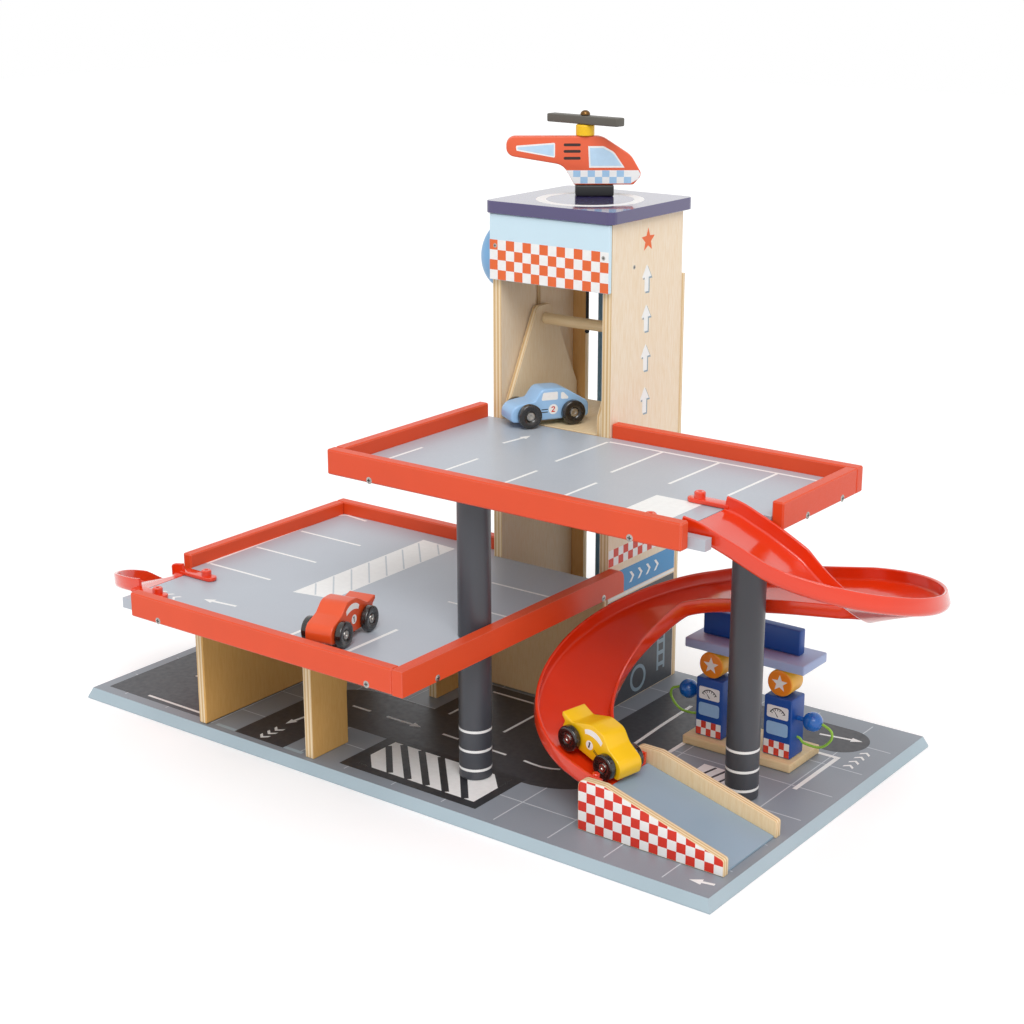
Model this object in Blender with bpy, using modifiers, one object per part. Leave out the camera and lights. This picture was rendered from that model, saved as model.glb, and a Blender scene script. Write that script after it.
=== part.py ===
"""Wooden toy service station: two parking decks, a lift tower, a long slide and a set of toys.

Sizes are metres. Places are measured from the base board's front left corner, with X along the
front edge, Y to the back and Z up from the floor. One empty moves them all, so that the part's
own origin is the middle of the board's underside.
"""
import math

import bmesh
import bpy
import numpy as np
from mathutils import Vector

# Clearances
GAP = 0.0003            # between pieces that touch
BORE_GAP = 0.0004       # round a pin or a shaft that turns
LIFT_GAP = 0.0015       # between the lift and the tower's sides

# Base board
BOARD_W = 0.600
BOARD_D = 0.326
BOARD_T = 0.009
BOARD_LIP = 0.0012      # upright edge under the chamfer
BOARD_INSET = 0.0034    # width of the chamfer

# Boards, rails and storeys
PLY = 0.008             # tower sides and walls
DECK_T = 0.008
RAIL_T = 0.009
RAIL_H = 0.019          # from the deck's underside
EDGE = 0.0010           # rounding of sanded edges
RAIL_END_R = 0.008
LOWER_STOREY = 0.102    # board to the lower deck's underside
UPPER_STOREY = 0.109    # lower deck to the upper deck's underside
TOWER_RISE = 0.163      # upper deck to the tower's top

# Tower
TOWER_INSET = 0.339     # board's right edge to the tower's left side
TOWER_SETBACK = 0.112   # board's back edge to the tower's front
TOWER_W = 0.112
TOWER_D = 0.098
FRONT_PANEL_T = 0.0057
BACK_PANEL_T = 0.0045
BACK_PANEL_DROP = 0.050  # below the tower's top
BACK_WINDOW_W = 0.052
BACK_WINDOW_ASIDE = 0.0095  # left of the tower's middle, with the ladder
BACK_WINDOW_SILL = 0.021
BACK_WINDOW_HEAD = 0.019
SIGN_T = 0.0040
SIGN_H = 0.0512
ROOF_T = 0.0095
ROOF_SIDE = 0.004       # overhang past each tower side
ROOF_FRONT = 0.006
ROOF_REAR = 0.009
ROOF_CORNER_R = 0.006

# Ladder behind the back window
LADDER_W = 0.034
LADDER_T = 0.004
LADDER_RAIL = 0.004
LADDER_STEP = 0.0235
LADDER_RUNG = 0.004
LADDER_END = 0.004      # left free above the ladder

# Lower deck and its walls
LOWER_LEFT = 0.076      # outer face of the left rail
LOWER_FRONT = -0.046    # outer face of the front rail, ahead of the board
LOWER_BEHIND = 0.022    # back rail's outer face behind the tower's front
RAIL_CUT = 0.0195       # front rail's start beside the chute
WALL_X = 0.1265
WALL_Y = 0.005
WALL_SHORT = 0.004      # wall's end ahead of the tower's front
ARCH_ASIDE = 0.0225     # arch wall left of the tower
ARCH_Y = 0.008
ARCH_SHORT = 0.0065
ARCH_LEG = 0.039        # depth of the front leg
ARCH_SPAN = 0.108
ARCH_HEAD = 0.014       # ply left above the arch
ARCH_R = 0.046

# Upper deck
UPPER_ASIDE = 0.0135    # left rail's outer face left of the tower
UPPER_FRONT = 0.032     # outer face of the front rail
UPPER_BEHIND = 0.011    # back rail's outer face behind the tower's front
UPPER_INSET = 0.019     # board's right edge to the right rail's outer face

# Columns
COLUMN_R = 0.01225
COLUMN_LEFT_Y = 0.0612
COLUMN_RIGHT_INSET = 0.064
COLUMN_RIGHT_BACK = 0.0105  # behind the middle of the slide's upper turn

# Slides: a channel with a flat floor and low walls
CHANNEL_WALL = 0.0025
CHANNEL_RIM = 0.012     # underside to the rim
CHANNEL_CORNER = 0.004
SLIDE_HALF = 0.029
SLIDE_Y = 0.080         # centreline where the slide leaves the upper deck
SLIDE_NOTCH = 0.043     # how far the deck is cut back for it
FRONT_STRIP = 0.0175    # deck's strip in front of the slide, short of the right edge
FRONT_RAIL_SHORT = 0.0298  # the same for the front rail
SLIDE_SIDE_GAP = 0.002
SLIDE_START = 0.0595
SLIDE_TURN_1 = 0.058
SLIDE_TURN_2 = 0.0624
SLIDE_TAIL = 0.012
SLIDE_DROPS = ((0, 0), (0.03, 0.015), (0.093, 0.10), (0.163, 0.19), (0.273, 0.31), (0.394, 0.37),
               (0.523, 0.43), (0.633, 0.50), (0.752, 0.69), (0.84, 0.85), (0.916, 0.94),
               (0.972, 0.995), (1, 1))
SLIDE_BANKS = ((0, 0), (0.08, 2), (0.182, 13), (0.273, 18), (0.385, 14), (0.502, 10), (0.622, 9),
               (0.722, 13), (0.82, 14), (0.93, 6), (0.97, 0), (1, 0))
CHUTE_HALF = 0.024
CHUTE_Y = 0.006
CHUTE_MOUTH = 0.044     # the left rail starts here
CHUTE_NOTCH = 0.009
CHUTE_START = 0.008
CHUTE_TURN = 0.035
CHUTE_RUN = 0.144
CHUTE_DROPS = ((0, 0), (0.1, 0.03), (0.28, 0.18), (0.9, 0.98), (1, 1))
TURN_STEP = 10.0        # degrees between the channel's sections in a turn
RUN_STEP = 0.012        # the same along a straight run
EASE = 0.04             # share of the run over which slopes blend

# Lugs that hold the slides on their decks
LUG_W = 0.010
LUG_T = 0.003
LUG_REACH = 0.0305      # over the deck
LUG_ROOT = 0.0035       # inside the channel's wall
BOSS_R = 0.004
BOSS_H = 0.0047
BOSS_BACK = 0.009       # lug's end to the boss
PEG_R = 0.003           # pegs at the slide's lower end
PEG_H = 0.013
PEG_IN = 0.0047         # past the ramp's start
PEG_ASIDE = 0.0235      # off the slide's middle

# Entry ramp
RAMP_INSET = 0.010      # board's right edge to the ramp's toe
RAMP_L = 0.1175
RAMP_SPARE = 0.0028     # beside the slide
RAMP_PLATE_T = 0.0065
RAMP_H = 0.039
RAMP_TOE_H = 0.0125
RAMP_FLAT = 0.022
RAMP_CORNER_R = 0.006
RAMP_DECK_T = 0.004
RAMP_LANDING = 0.0255   # slide's seat above the board
RAMP_TOE = 0.0015

# Lift
LIFT_FLOOR_T = 0.006
LIFT_SIDE_T = 0.005
LIFT_FRONT_GAP = 0.003
LIFT_D = 0.092
LIFT_SKIRT = 0.020
LIFT_H = 0.091          # floor's underside to the side plates' top
LIFT_HEAD = 0.019
LIFT_HEAD_BACK = 0.0365  # floor's front to the head's front
DOWEL_R = 0.0045
DOWEL_DROP = 0.011      # under the side plates' top
PIN_R = 0.0025
PIN_REACH = 0.0025      # into the groove
GROOVE_W = 0.006
GROOVE_DEPTH = 0.003
GROOVE_FOOT = 0.020     # below the pin's lowest place
CORD_R = 0.00125

# Winch
WINCH_Z = 0.361
DRUM_R = 0.012
DRUM_L = 0.064
DRUM_FLANGE_R = 0.015
DRUM_FLANGE_T = 0.003
SHAFT_R = 0.004
SHAFT_SEAT = 0.003      # into the right tower side
KNOB_R = 0.028
KNOB_T = 0.027
KNOB_GAP = 0.002        # to the tower's left side
KNOB_BORE = 0.009

# Petrol pumps
ISLAND_INSET = 0.053    # board's right edge to the island
ISLAND_W = 0.0935
ISLAND_D = 0.0465
ISLAND_T = 0.007
ISLAND_SETBACK = 0.126  # board's back edge to the island's front
PUMP_W = 0.0235
PUMP_D = 0.020
PUMP_H = 0.0475
PUMP_SETBACK = 0.007    # from the island's front
PUMP_LEFT_IN = 0.007    # from the island's left end
PUMP_RIGHT_IN = 0.0040  # from the island's right end
GLOBE_R = 0.0105
GLOBE_L = 0.018
CANOPY_W = 0.102
CANOPY_D = 0.036
CANOPY_T = 0.0077
PANEL_W = 0.083
PANEL_T = 0.008
PANEL_H = 0.020
PANEL_SETBACK = 0.015
PANEL_SHIFT = 0.0025    # panel's middle left of the canopy's
NOZZLE_R = 0.0075
NOZZLE_Z = 0.0475
NOZZLE_PEG_R = 0.0018
NOZZLE_PEG_L = 0.007
NOZZLE_GAP = 0.005      # ball to pump
HOSE_R = 0.0010
HOSE_SEAT = 0.007       # into the pump
HOSE_DROP = 0.0155      # nozzle to the hose's seat
HOSE_BEND = 0.00775
# Hose: (out from the pump, below the nozzle)
HOSE_LOOP = ((NOZZLE_GAP + 2 * NOZZLE_R + GAP, 0), (NOZZLE_GAP + 2 * NOZZLE_R + HOSE_BEND, 0.0039),
             (NOZZLE_GAP + 2 * NOZZLE_R + HOSE_BEND, 0.0112), (0.0192, 0.0189), (0.0060, 0.0189),
             (0.0015, HOSE_DROP), (-HOSE_SEAT, HOSE_DROP))

# Helicopter, turned to face the viewer's side
HELI_ASIDE = 0.0126     # left of the tower's middle
HELI_BACK = 0.0618      # behind the tower's front
HELI_TURN = 37.0
STAND_L = 0.030
STAND_W = 0.014
STAND_H = 0.0083
STAND_AHEAD = 0.0076    # of the mast
HELI_T = 0.010
HELI_TAIL = 0.0613      # behind the mast
HELI_NOSE = 0.0446
HELI_H = 0.0372
# Side outline from the tail's foot: along from the mast, height, corner radius
HELI_SIDE = ((-HELI_TAIL, HELI_H - 0.0145, 0.007), (-HELI_TAIL, HELI_H, 0.007), (0.013, HELI_H, 0.016),
             (HELI_NOSE - 0.0084, HELI_H - 0.0151, 0.018), (HELI_NOSE, 0.0077, 0.005),
             (HELI_NOSE - 0.0069, 0, 0.0025), (-0.0083, 0, 0.0012), (-0.0169, HELI_H - 0.0219, 0.012))
MAST_R = 0.0073
MAST_H = 0.0085
ROTOR_L = 0.071
ROTOR_W = 0.010
ROTOR_T = 0.0065
ROTOR_TURN = -42.0
SCREW_R = 0.0012
SCREW_HEAD_R = 0.0039
SCREW_HEAD_H = 0.0038
SCREW_SEAT = 0.006      # into the mast

# Cars
WHEEL_R = 0.0097
WHEEL_T = 0.0055
WHEEL_GAP = 0.0004      # wheel to body
AXLE_R = 0.0015
CAR_W = 0.0215
CAR_NOSE = 0.0315       # ahead of the car's middle
CAR_TAIL = 0.0315
CAR_FRONT_AXLE = 0.0190
CAR_REAR_AXLE = 0.0180
CAR_FLOOR = 0.0045
CAR_ROOF = 0.0295
CAR_BONNET = 0.0092     # coupe's bonnet under the roof
CAR_WINDSCREEN = 0.0135  # bonnet's end, ahead of the middle
CAR_EDGE = 0.0010
SPOILER_TOP = CAR_ROOF - 0.0067
SPOILER_T = 0.0030
SPOILER_FOOT = 0.0028   # height of the slope under it
# Side outlines: (ahead of the middle, height, corner radius)
COUPE_SIDE = ((CAR_NOSE + 0.0020, CAR_FLOOR, 0.004), (CAR_NOSE + 0.0020, CAR_ROOF - 0.0120, 0.009),
              (CAR_WINDSCREEN, CAR_ROOF - CAR_BONNET, 0.003),
              (CAR_WINDSCREEN - 0.0065, CAR_ROOF, 0.007), (-0.0120, CAR_ROOF - 0.0005, 0.016),
              (-CAR_TAIL - 0.0010, CAR_ROOF - 0.0130, 0.006), (-CAR_TAIL - 0.0010, CAR_FLOOR, 0.003))
RACER_SIDE = ((CAR_NOSE, CAR_FLOOR, 0.003), (CAR_NOSE, CAR_ROOF - 0.0130, 0.008),
              (CAR_WINDSCREEN + 0.0025, CAR_ROOF - 0.0075, 0.006),
              (CAR_WINDSCREEN - 0.0055, CAR_ROOF, 0.009), (-0.0050, CAR_ROOF, 0.013),
              (-CAR_TAIL + 0.0100, CAR_ROOF - 0.0090, 0.005), (-CAR_TAIL - 0.0010, SPOILER_TOP),
              (-CAR_TAIL - 0.0010, SPOILER_TOP - SPOILER_T),
              (-CAR_TAIL + 0.0030, SPOILER_TOP - SPOILER_T - SPOILER_FOOT, 0.0015),
              (-CAR_TAIL + 0.0010, CAR_FLOOR, 0.003))
# Wheel: (share of its radius, depth from its outer face as a share of its thickness)
WHEEL_SECTION = ((0, 0), (0.25, 0.04), (0.42, 0.20), (0.756, 0), (1, 0.28), (1, 0.80), (0.878, 1))
BLUE_IN = (0.0438, 0.0100)  # from the tower's front left corner
BLUE_TURN = 239.6
RED_ASIDE = 0.0228       # right of the tower's left side
RED_Y = 0.002
RED_TURN = -78.4
YELLOW_BACK = 0.013     # behind the ramp's start
YELLOW_ASIDE = 0.0043    # off the slide's end line
YELLOW_LIFT = 0.0097    # its middle above the slide's foot
YELLOW_TURN = -11.0
YELLOW_PITCH = 16.3

# What follows from the sizes above
TOWER_X = BOARD_W - TOWER_INSET
TOWER_Y = BOARD_D - TOWER_SETBACK
LOWER_BACK = TOWER_Y + LOWER_BEHIND
WALL_D = TOWER_Y - WALL_SHORT - WALL_Y
ARCH_X = TOWER_X - ARCH_ASIDE
ARCH_D = TOWER_Y - ARCH_SHORT - ARCH_Y
UPPER_LEFT = TOWER_X - UPPER_ASIDE
UPPER_BACK = TOWER_Y + UPPER_BEHIND
COLUMN_RIGHT_Y = SLIDE_Y + SLIDE_TURN_1 + COLUMN_RIGHT_BACK
ISLAND_Y = BOARD_D - ISLAND_SETBACK
BLUE_PLACE = (TOWER_X + BLUE_IN[0], TOWER_Y + BLUE_IN[1])
RED_PLACE = (TOWER_X + RED_ASIDE, RED_Y)
LOWER_Z = BOARD_T + LOWER_STOREY
LOWER_TOP = LOWER_Z + DECK_T
UPPER_Z = LOWER_TOP + UPPER_STOREY
UPPER_TOP = UPPER_Z + DECK_T
TOWER_TOP = UPPER_TOP + TOWER_RISE
TOWER_RIGHT = TOWER_X + TOWER_W
TOWER_BACK = TOWER_Y + TOWER_D
TOWER_MID = TOWER_X + TOWER_W / 2
LOWER_RIGHT = TOWER_RIGHT + GAP + RAIL_T
COLUMN_LEFT_X = TOWER_RIGHT - COLUMN_R - GAP
LIFT_Y = TOWER_Y + LIFT_FRONT_GAP
LIFT_TRAVEL = UPPER_TOP - LOWER_TOP
DOWEL_Y = LIFT_Y + LIFT_HEAD_BACK + LIFT_HEAD / 2
DOWEL_Z = UPPER_TOP - LIFT_FLOOR_T + LIFT_H - DOWEL_DROP
WINCH_Y = DOWEL_Y - DRUM_R - CORD_R - GAP
UPPER_RIGHT = BOARD_W - UPPER_INSET
NOTCH_X = UPPER_RIGHT - SLIDE_NOTCH
NOTCH_Y = SLIDE_Y + SLIDE_HALF + SLIDE_SIDE_GAP
NOTCH_FRONT_Y = SLIDE_Y - SLIDE_HALF - SLIDE_SIDE_GAP
RAMP_X = BOARD_W - RAMP_INSET - RAMP_L
ISLAND_X = BOARD_W - ISLAND_INSET - ISLAND_W
ISLAND_TOP = BOARD_T + GAP + ISLAND_T
ROOF_TOP = TOWER_TOP + GAP + ROOF_T
BACK_PANEL_H = TOWER_TOP - BACK_PANEL_DROP - BOARD_T
SLIDE_END_Y = SLIDE_Y + 2 * SLIDE_TURN_1 - 2 * SLIDE_TURN_2
RAMP_FRONT = SLIDE_END_Y - SLIDE_HALF - RAMP_SPARE
RAMP_REAR = RAMP_FRONT + 2 * SLIDE_HALF + 2 * RAMP_SPARE

LOOKS = {
    "board_print": ("8F959C", 0.55, 0),
    "deck_paint": ("B5BAC0", 0.5, 0),
    "rail_paint": ("E4572E", 0.5, 0),
    "birch_ply": ("EBD9BC", 0.6, 0),
    "roof_paint": ("3B2F63", 0.5, 0),
    "sign_paint": ("CFE6F2", 0.5, 0),
    "column_paint": ("45474D", 0.5, 0),
    "slide_plastic": ("E23A17", 0.2, 0),
    "ramp_paint": ("8FA4B5", 0.5, 0),
    "knob_paint": ("7FB0DC", 0.45, 0),
    "ladder_paint": ("4F7FA8", 0.5, 0),
    "cord_black": ("1C1B1A", 0.8, 0),
    "pump_paint": ("0F4FA0", 0.45, 0),
    "globe_paint": ("F28A14", 0.4, 0),
    "canopy_paint": ("A9BBE0", 0.5, 0),
    "ball_paint": ("1B6FC0", 0.35, 0),
    "hose_lime": ("9ACD4A", 0.4, 0),
    "heli_paint": ("E8633A", 0.5, 0),
    "mast_paint": ("F7C600", 0.45, 0),
    "rotor_paint": ("57534A", 0.5, 0),
    "stand_black": ("232323", 0.5, 0),
    "steel": ("9A9A98", 0.3, 1),
    "car_blue": ("8FB8E0", 0.35, 0),
    "car_red": ("E2492B", 0.35, 0),
    "car_yellow": ("F9C80A", 0.35, 0),
    "wheel_black": ("26221F", 0.3, 0),
}


def clear_scene():
    for ob in list(bpy.data.objects):
        bpy.data.objects.remove(ob, do_unlink=True)


def collection(name):
    found = bpy.data.collections.new(name)
    bpy.context.scene.collection.children.link(found)
    return found


clear_scene()
PARTS = collection("toy_service_station")
CUTTERS = collection("cutters")


def group(name, place, turn=(0, 0, 0), parent=None):
    """Empty that places a set of pieces."""
    empty = bpy.data.objects.new(name, None)
    empty.empty_display_size = 0.02
    empty.location = place
    empty.rotation_euler = turn
    empty.parent = parent
    PARTS.objects.link(empty)
    return empty


CORNER = group("board_corner", (-BOARD_W / 2, -BOARD_D / 2, 0))


def linear(value):
    return value / 12.92 if value <= 0.04045 else ((value + 0.055) / 1.055) ** 2.4


def paint(ob, look):
    """The piece's own Principled material."""
    code, roughness, metallic = LOOKS[look]
    mat = bpy.data.materials.new(ob.name + "_" + look)
    mat.use_nodes = True
    shader = mat.node_tree.nodes["Principled BSDF"]
    rgb = [linear(int(code[i:i + 2], 16) / 255) for i in (0, 2, 4)]
    shader.inputs["Base Color"].default_value = (*rgb, 1)
    shader.inputs["Roughness"].default_value = roughness
    shader.inputs["Metallic"].default_value = metallic
    mat.diffuse_color = (*rgb, 1)
    ob.data.materials.clear()
    ob.data.materials.append(mat)


def place(ob, look, where, turn=(0, 0, 0), parent=CORNER):
    """Links a piece into the part, or a cutter, which has no look, into the cutters."""
    ob.location = where
    ob.rotation_euler = turn
    ob.parent = parent
    if look is None:
        CUTTERS.objects.link(ob)
        ob.hide_render = True
        ob.display_type = "WIRE"
    else:
        PARTS.objects.link(ob)
        paint(ob, look)
    return ob


def soften(ob, width, segments=1):
    """Rounds the sharp edges of a piece."""
    bevel = ob.modifiers.new("edges", "BEVEL")
    bevel.width = width
    bevel.segments = segments
    bevel.limit_method = "ANGLE"
    bevel.angle_limit = math.radians(50)


def box(name, look, low, high, edge=0.0, parent=CORNER):
    low, high = Vector(low), Vector(high)
    bm = bmesh.new()
    bmesh.ops.create_cube(bm, size=1)
    bmesh.ops.scale(bm, vec=high - low, verts=bm.verts)
    mesh = bpy.data.meshes.new(name)
    bm.to_mesh(mesh)
    bm.free()
    ob = place(bpy.data.objects.new(name, mesh), look, (low + high) / 2, parent=parent)
    if edge:
        soften(ob, edge)
    return ob


def fillet(corners, steps=4):
    """Outline through (x, y) or (x, y, radius) corners; a radius turns its corner into an arc."""
    points = []
    for i, corner in enumerate(corners):
        here = Vector(corner[:2])
        radius = corner[2] if len(corner) > 2 else 0
        if not radius:
            points.append(here)
            continue
        back = (Vector(corners[i - 1][:2]) - here).normalized()
        ahead = (Vector(corners[(i + 1) % len(corners)][:2]) - here).normalized()
        half = back.angle(ahead) / 2
        centre = here + (back + ahead).normalized() * radius / math.sin(half)
        first = here + back * radius / math.tan(half) - centre
        last = here + ahead * radius / math.tan(half) - centre
        sweep = first.angle_signed(last)
        for k in range(steps + 1):
            angle = -sweep * k / steps
            turned_arm = Vector((first.x * math.cos(angle) - first.y * math.sin(angle),
                                 first.x * math.sin(angle) + first.y * math.cos(angle)))
            points.append(centre + turned_arm)
    return points


def outline_curve(name, outlines):
    data = bpy.data.curves.new(name, "CURVE")
    data.dimensions = "2D"
    for outline in outlines:
        spline = data.splines.new("POLY")
        spline.points.add(len(outline) - 1)
        for point, at in zip(spline.points, outline):
            point.co = (at[0], at[1], 0, 1)
        spline.use_cyclic_u = True
    return bpy.data.objects.new(name, data)


def meshed(curve):
    """The curve's solid as a mesh, with its caps welded on."""
    bpy.context.scene.collection.objects.link(curve)
    curve_name = curve.name
    curve.name = curve_name + "_curve"
    bpy.context.view_layer.update()
    graph = bpy.context.evaluated_depsgraph_get()
    mesh = bpy.data.meshes.new_from_object(curve.evaluated_get(graph))
    bpy.data.objects.remove(curve, do_unlink=True)
    bm = bmesh.new()
    bm.from_mesh(mesh)
    bmesh.ops.remove_doubles(bm, verts=bm.verts, dist=0.00001)
    bmesh.ops.recalc_face_normals(bm, faces=bm.faces)
    bm.to_mesh(mesh)
    bm.free()
    mesh.name = curve_name
    return bpy.data.objects.new(curve_name, mesh)


PLANES = {"XY": (0, 0, 0), "XZ": (math.pi / 2, 0, 0), "YZ": (math.pi / 2, 0, math.pi / 2)}


def board(name, look, outlines, plane, middle, thickness, edge=0.0, parent=CORNER):
    """Flat board: an outline, and any holes in it, in one plane, and its middle across it."""
    curve = outline_curve(name, outlines)
    curve.data.fill_mode = "BOTH"
    curve.data.extrude = thickness / 2
    where = {"XY": (0, 0, middle), "XZ": (0, middle, 0), "YZ": (middle, 0, 0)}[plane]
    ob = place(meshed(curve), look, where, PLANES[plane], parent)
    if edge:
        soften(ob, edge)
    return ob


def turned(name, look, profile, where, axis="Z", steps=24, parent=CORNER):
    """Turned piece from (radius, height) points that start and end on its axis, top to bottom."""
    mesh = bpy.data.meshes.new(name)
    verts = [(r, 0, z) for r, z in profile]
    mesh.from_pydata(verts, [(i, i + 1) for i in range(len(verts) - 1)], [])
    turns = {"Z": (0, 0, 0), "X": (0, math.pi / 2, 0), "Y": (-math.pi / 2, 0, 0)}
    ob = place(bpy.data.objects.new(name, mesh), look, where, turns[axis], parent)
    screw = ob.modifiers.new("turned", "SCREW")
    screw.steps = steps
    screw.render_steps = steps
    screw.use_merge_vertices = True
    screw.merge_threshold = 0.00001
    screw.use_smooth_shade = True
    return ob


def rod(name, look, radius, low, high, axis, where, steps=24, parent=CORNER):
    """Plain round rod between two places along its axis."""
    profile = [(0, high), (radius, high), (radius, low), (0, low)]
    return turned(name, look, profile, where, axis, steps, parent)


def combine(target, tool, operation="DIFFERENCE"):
    mod = target.modifiers.new(operation.lower(), "BOOLEAN")
    mod.operation = operation
    mod.object = tool


def build_base():
    """Board whose top is drawn in by a steep chamfer."""
    name = "base_board"
    bm = bmesh.new()
    bmesh.ops.create_cube(bm, size=1)
    bmesh.ops.scale(bm, vec=(BOARD_W, BOARD_D, BOARD_LIP), verts=bm.verts)
    bmesh.ops.translate(bm, vec=(0, 0, BOARD_LIP / 2), verts=bm.verts)
    top = [f for f in bm.faces if f.normal.z > 0.9]
    raised = bmesh.ops.extrude_face_region(bm, geom=top)
    verts = [g for g in raised["geom"] if isinstance(g, bmesh.types.BMVert)]
    bmesh.ops.delete(bm, geom=top, context="FACES_ONLY")
    bmesh.ops.translate(bm, vec=(0, 0, BOARD_T - BOARD_LIP), verts=verts)
    inward = (1 - 2 * BOARD_INSET / BOARD_W, 1 - 2 * BOARD_INSET / BOARD_D, 1)
    bmesh.ops.scale(bm, vec=inward, verts=verts)
    mesh = bpy.data.meshes.new(name)
    bm.to_mesh(mesh)
    bm.free()
    place(bpy.data.objects.new(name, mesh), "board_print", (BOARD_W / 2, BOARD_D / 2, 0))


def build_walls():
    """Plywood under the lower deck."""
    floor = BOARD_T + GAP
    head = LOWER_Z - GAP
    box("support_wall_left", "birch_ply", (WALL_X, WALL_Y, floor),
        (WALL_X + PLY, WALL_Y + WALL_D, head), EDGE)
    near = ARCH_Y + ARCH_LEG
    far = near + ARCH_SPAN
    crown = head - ARCH_HEAD
    outline = fillet([(ARCH_Y, floor), (near, floor), (near, crown, ARCH_R), (far, crown, ARCH_R),
                      (far, floor), (ARCH_Y + ARCH_D, floor), (ARCH_Y + ARCH_D, head),
                      (ARCH_Y, head)], 8)
    board("support_wall_arch", "birch_ply", [outline], "YZ", ARCH_X + PLY / 2, PLY)
    box("tower_front_panel", "birch_ply", (TOWER_X, TOWER_Y - GAP - FRONT_PANEL_T, floor),
        (TOWER_RIGHT, TOWER_Y - GAP, head), EDGE)


def build_lower_deck():
    left = LOWER_LEFT + RAIL_T
    front = LOWER_FRONT + RAIL_T + GAP
    back = LOWER_BACK - RAIL_T - GAP
    tower_front = TOWER_Y - GAP
    tower_left = TOWER_X - GAP
    mouth = left + CHUTE_NOTCH
    outline = [(mouth, front), (TOWER_RIGHT, front), (TOWER_RIGHT, tower_front),
               (tower_left, tower_front), (tower_left, back), (left + GAP, back),
               (left + GAP, CHUTE_MOUTH), (mouth, CHUTE_MOUTH)]
    board("lower_deck", "deck_paint", [outline], "XY", LOWER_Z + DECK_T / 2, DECK_T)
    rail_top = LOWER_Z + RAIL_H
    box("lower_rail_front", "rail_paint", (mouth + RAIL_CUT, LOWER_FRONT, LOWER_Z),
        (TOWER_RIGHT, LOWER_FRONT + RAIL_T, rail_top), EDGE)
    box("lower_rail_back", "rail_paint", (LOWER_LEFT, LOWER_BACK - RAIL_T, LOWER_Z),
        (tower_left, LOWER_BACK, rail_top), EDGE)
    box("lower_rail_left", "rail_paint", (LOWER_LEFT, CHUTE_MOUTH, LOWER_Z),
        (left, back, rail_top), EDGE)
    outline = fillet([(LOWER_FRONT, LOWER_Z), (TOWER_Y + RAIL_T, LOWER_Z),
                      (TOWER_Y + RAIL_T, rail_top, RAIL_END_R), (LOWER_FRONT, rail_top)], 4)
    board("lower_rail_right", "rail_paint", [outline], "YZ", LOWER_RIGHT - RAIL_T / 2, RAIL_T)


def build_upper_deck():
    left = UPPER_LEFT + RAIL_T + GAP
    front = UPPER_FRONT + RAIL_T + GAP
    back = UPPER_BACK - RAIL_T - GAP
    right = UPPER_RIGHT - RAIL_T - GAP
    tower_front = TOWER_Y - GAP
    tower_right = TOWER_RIGHT + GAP
    strip = UPPER_RIGHT - FRONT_STRIP
    outline = [(left, front), (strip, front), (strip, NOTCH_FRONT_Y), (NOTCH_X, NOTCH_FRONT_Y),
               (NOTCH_X, NOTCH_Y), (right, NOTCH_Y), (right, back),
               (tower_right, back), (tower_right, tower_front), (left, tower_front)]
    board("upper_deck", "deck_paint", [outline], "XY", UPPER_Z + DECK_T / 2, DECK_T)
    rail_top = UPPER_Z + RAIL_H
    box("upper_rail_front", "rail_paint", (UPPER_LEFT, UPPER_FRONT, UPPER_Z),
        (UPPER_RIGHT - FRONT_RAIL_SHORT, UPPER_FRONT + RAIL_T, rail_top), EDGE)
    box("upper_rail_left", "rail_paint", (UPPER_LEFT, front, UPPER_Z),
        (UPPER_LEFT + RAIL_T, tower_front, rail_top), EDGE)
    box("upper_rail_back", "rail_paint", (tower_right, UPPER_BACK - RAIL_T, UPPER_Z),
        (UPPER_RIGHT, UPPER_BACK, rail_top), EDGE)
    box("upper_rail_right", "rail_paint", (UPPER_RIGHT - RAIL_T, NOTCH_Y, UPPER_Z),
        (UPPER_RIGHT, back, rail_top), EDGE)


def build_columns():
    right_x = BOARD_W - COLUMN_RIGHT_INSET
    spans = (("column_left_lower", COLUMN_LEFT_X, COLUMN_LEFT_Y, BOARD_T, LOWER_Z),
             ("column_left_upper", COLUMN_LEFT_X, COLUMN_LEFT_Y, LOWER_TOP, UPPER_Z),
             ("column_right", right_x, COLUMN_RIGHT_Y, BOARD_T, UPPER_Z))
    for name, x, y, foot, head in spans:
        rod(name, "column_paint", COLUMN_R, foot + GAP, head - GAP, "Z", (x, y, 0), 32)


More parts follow.
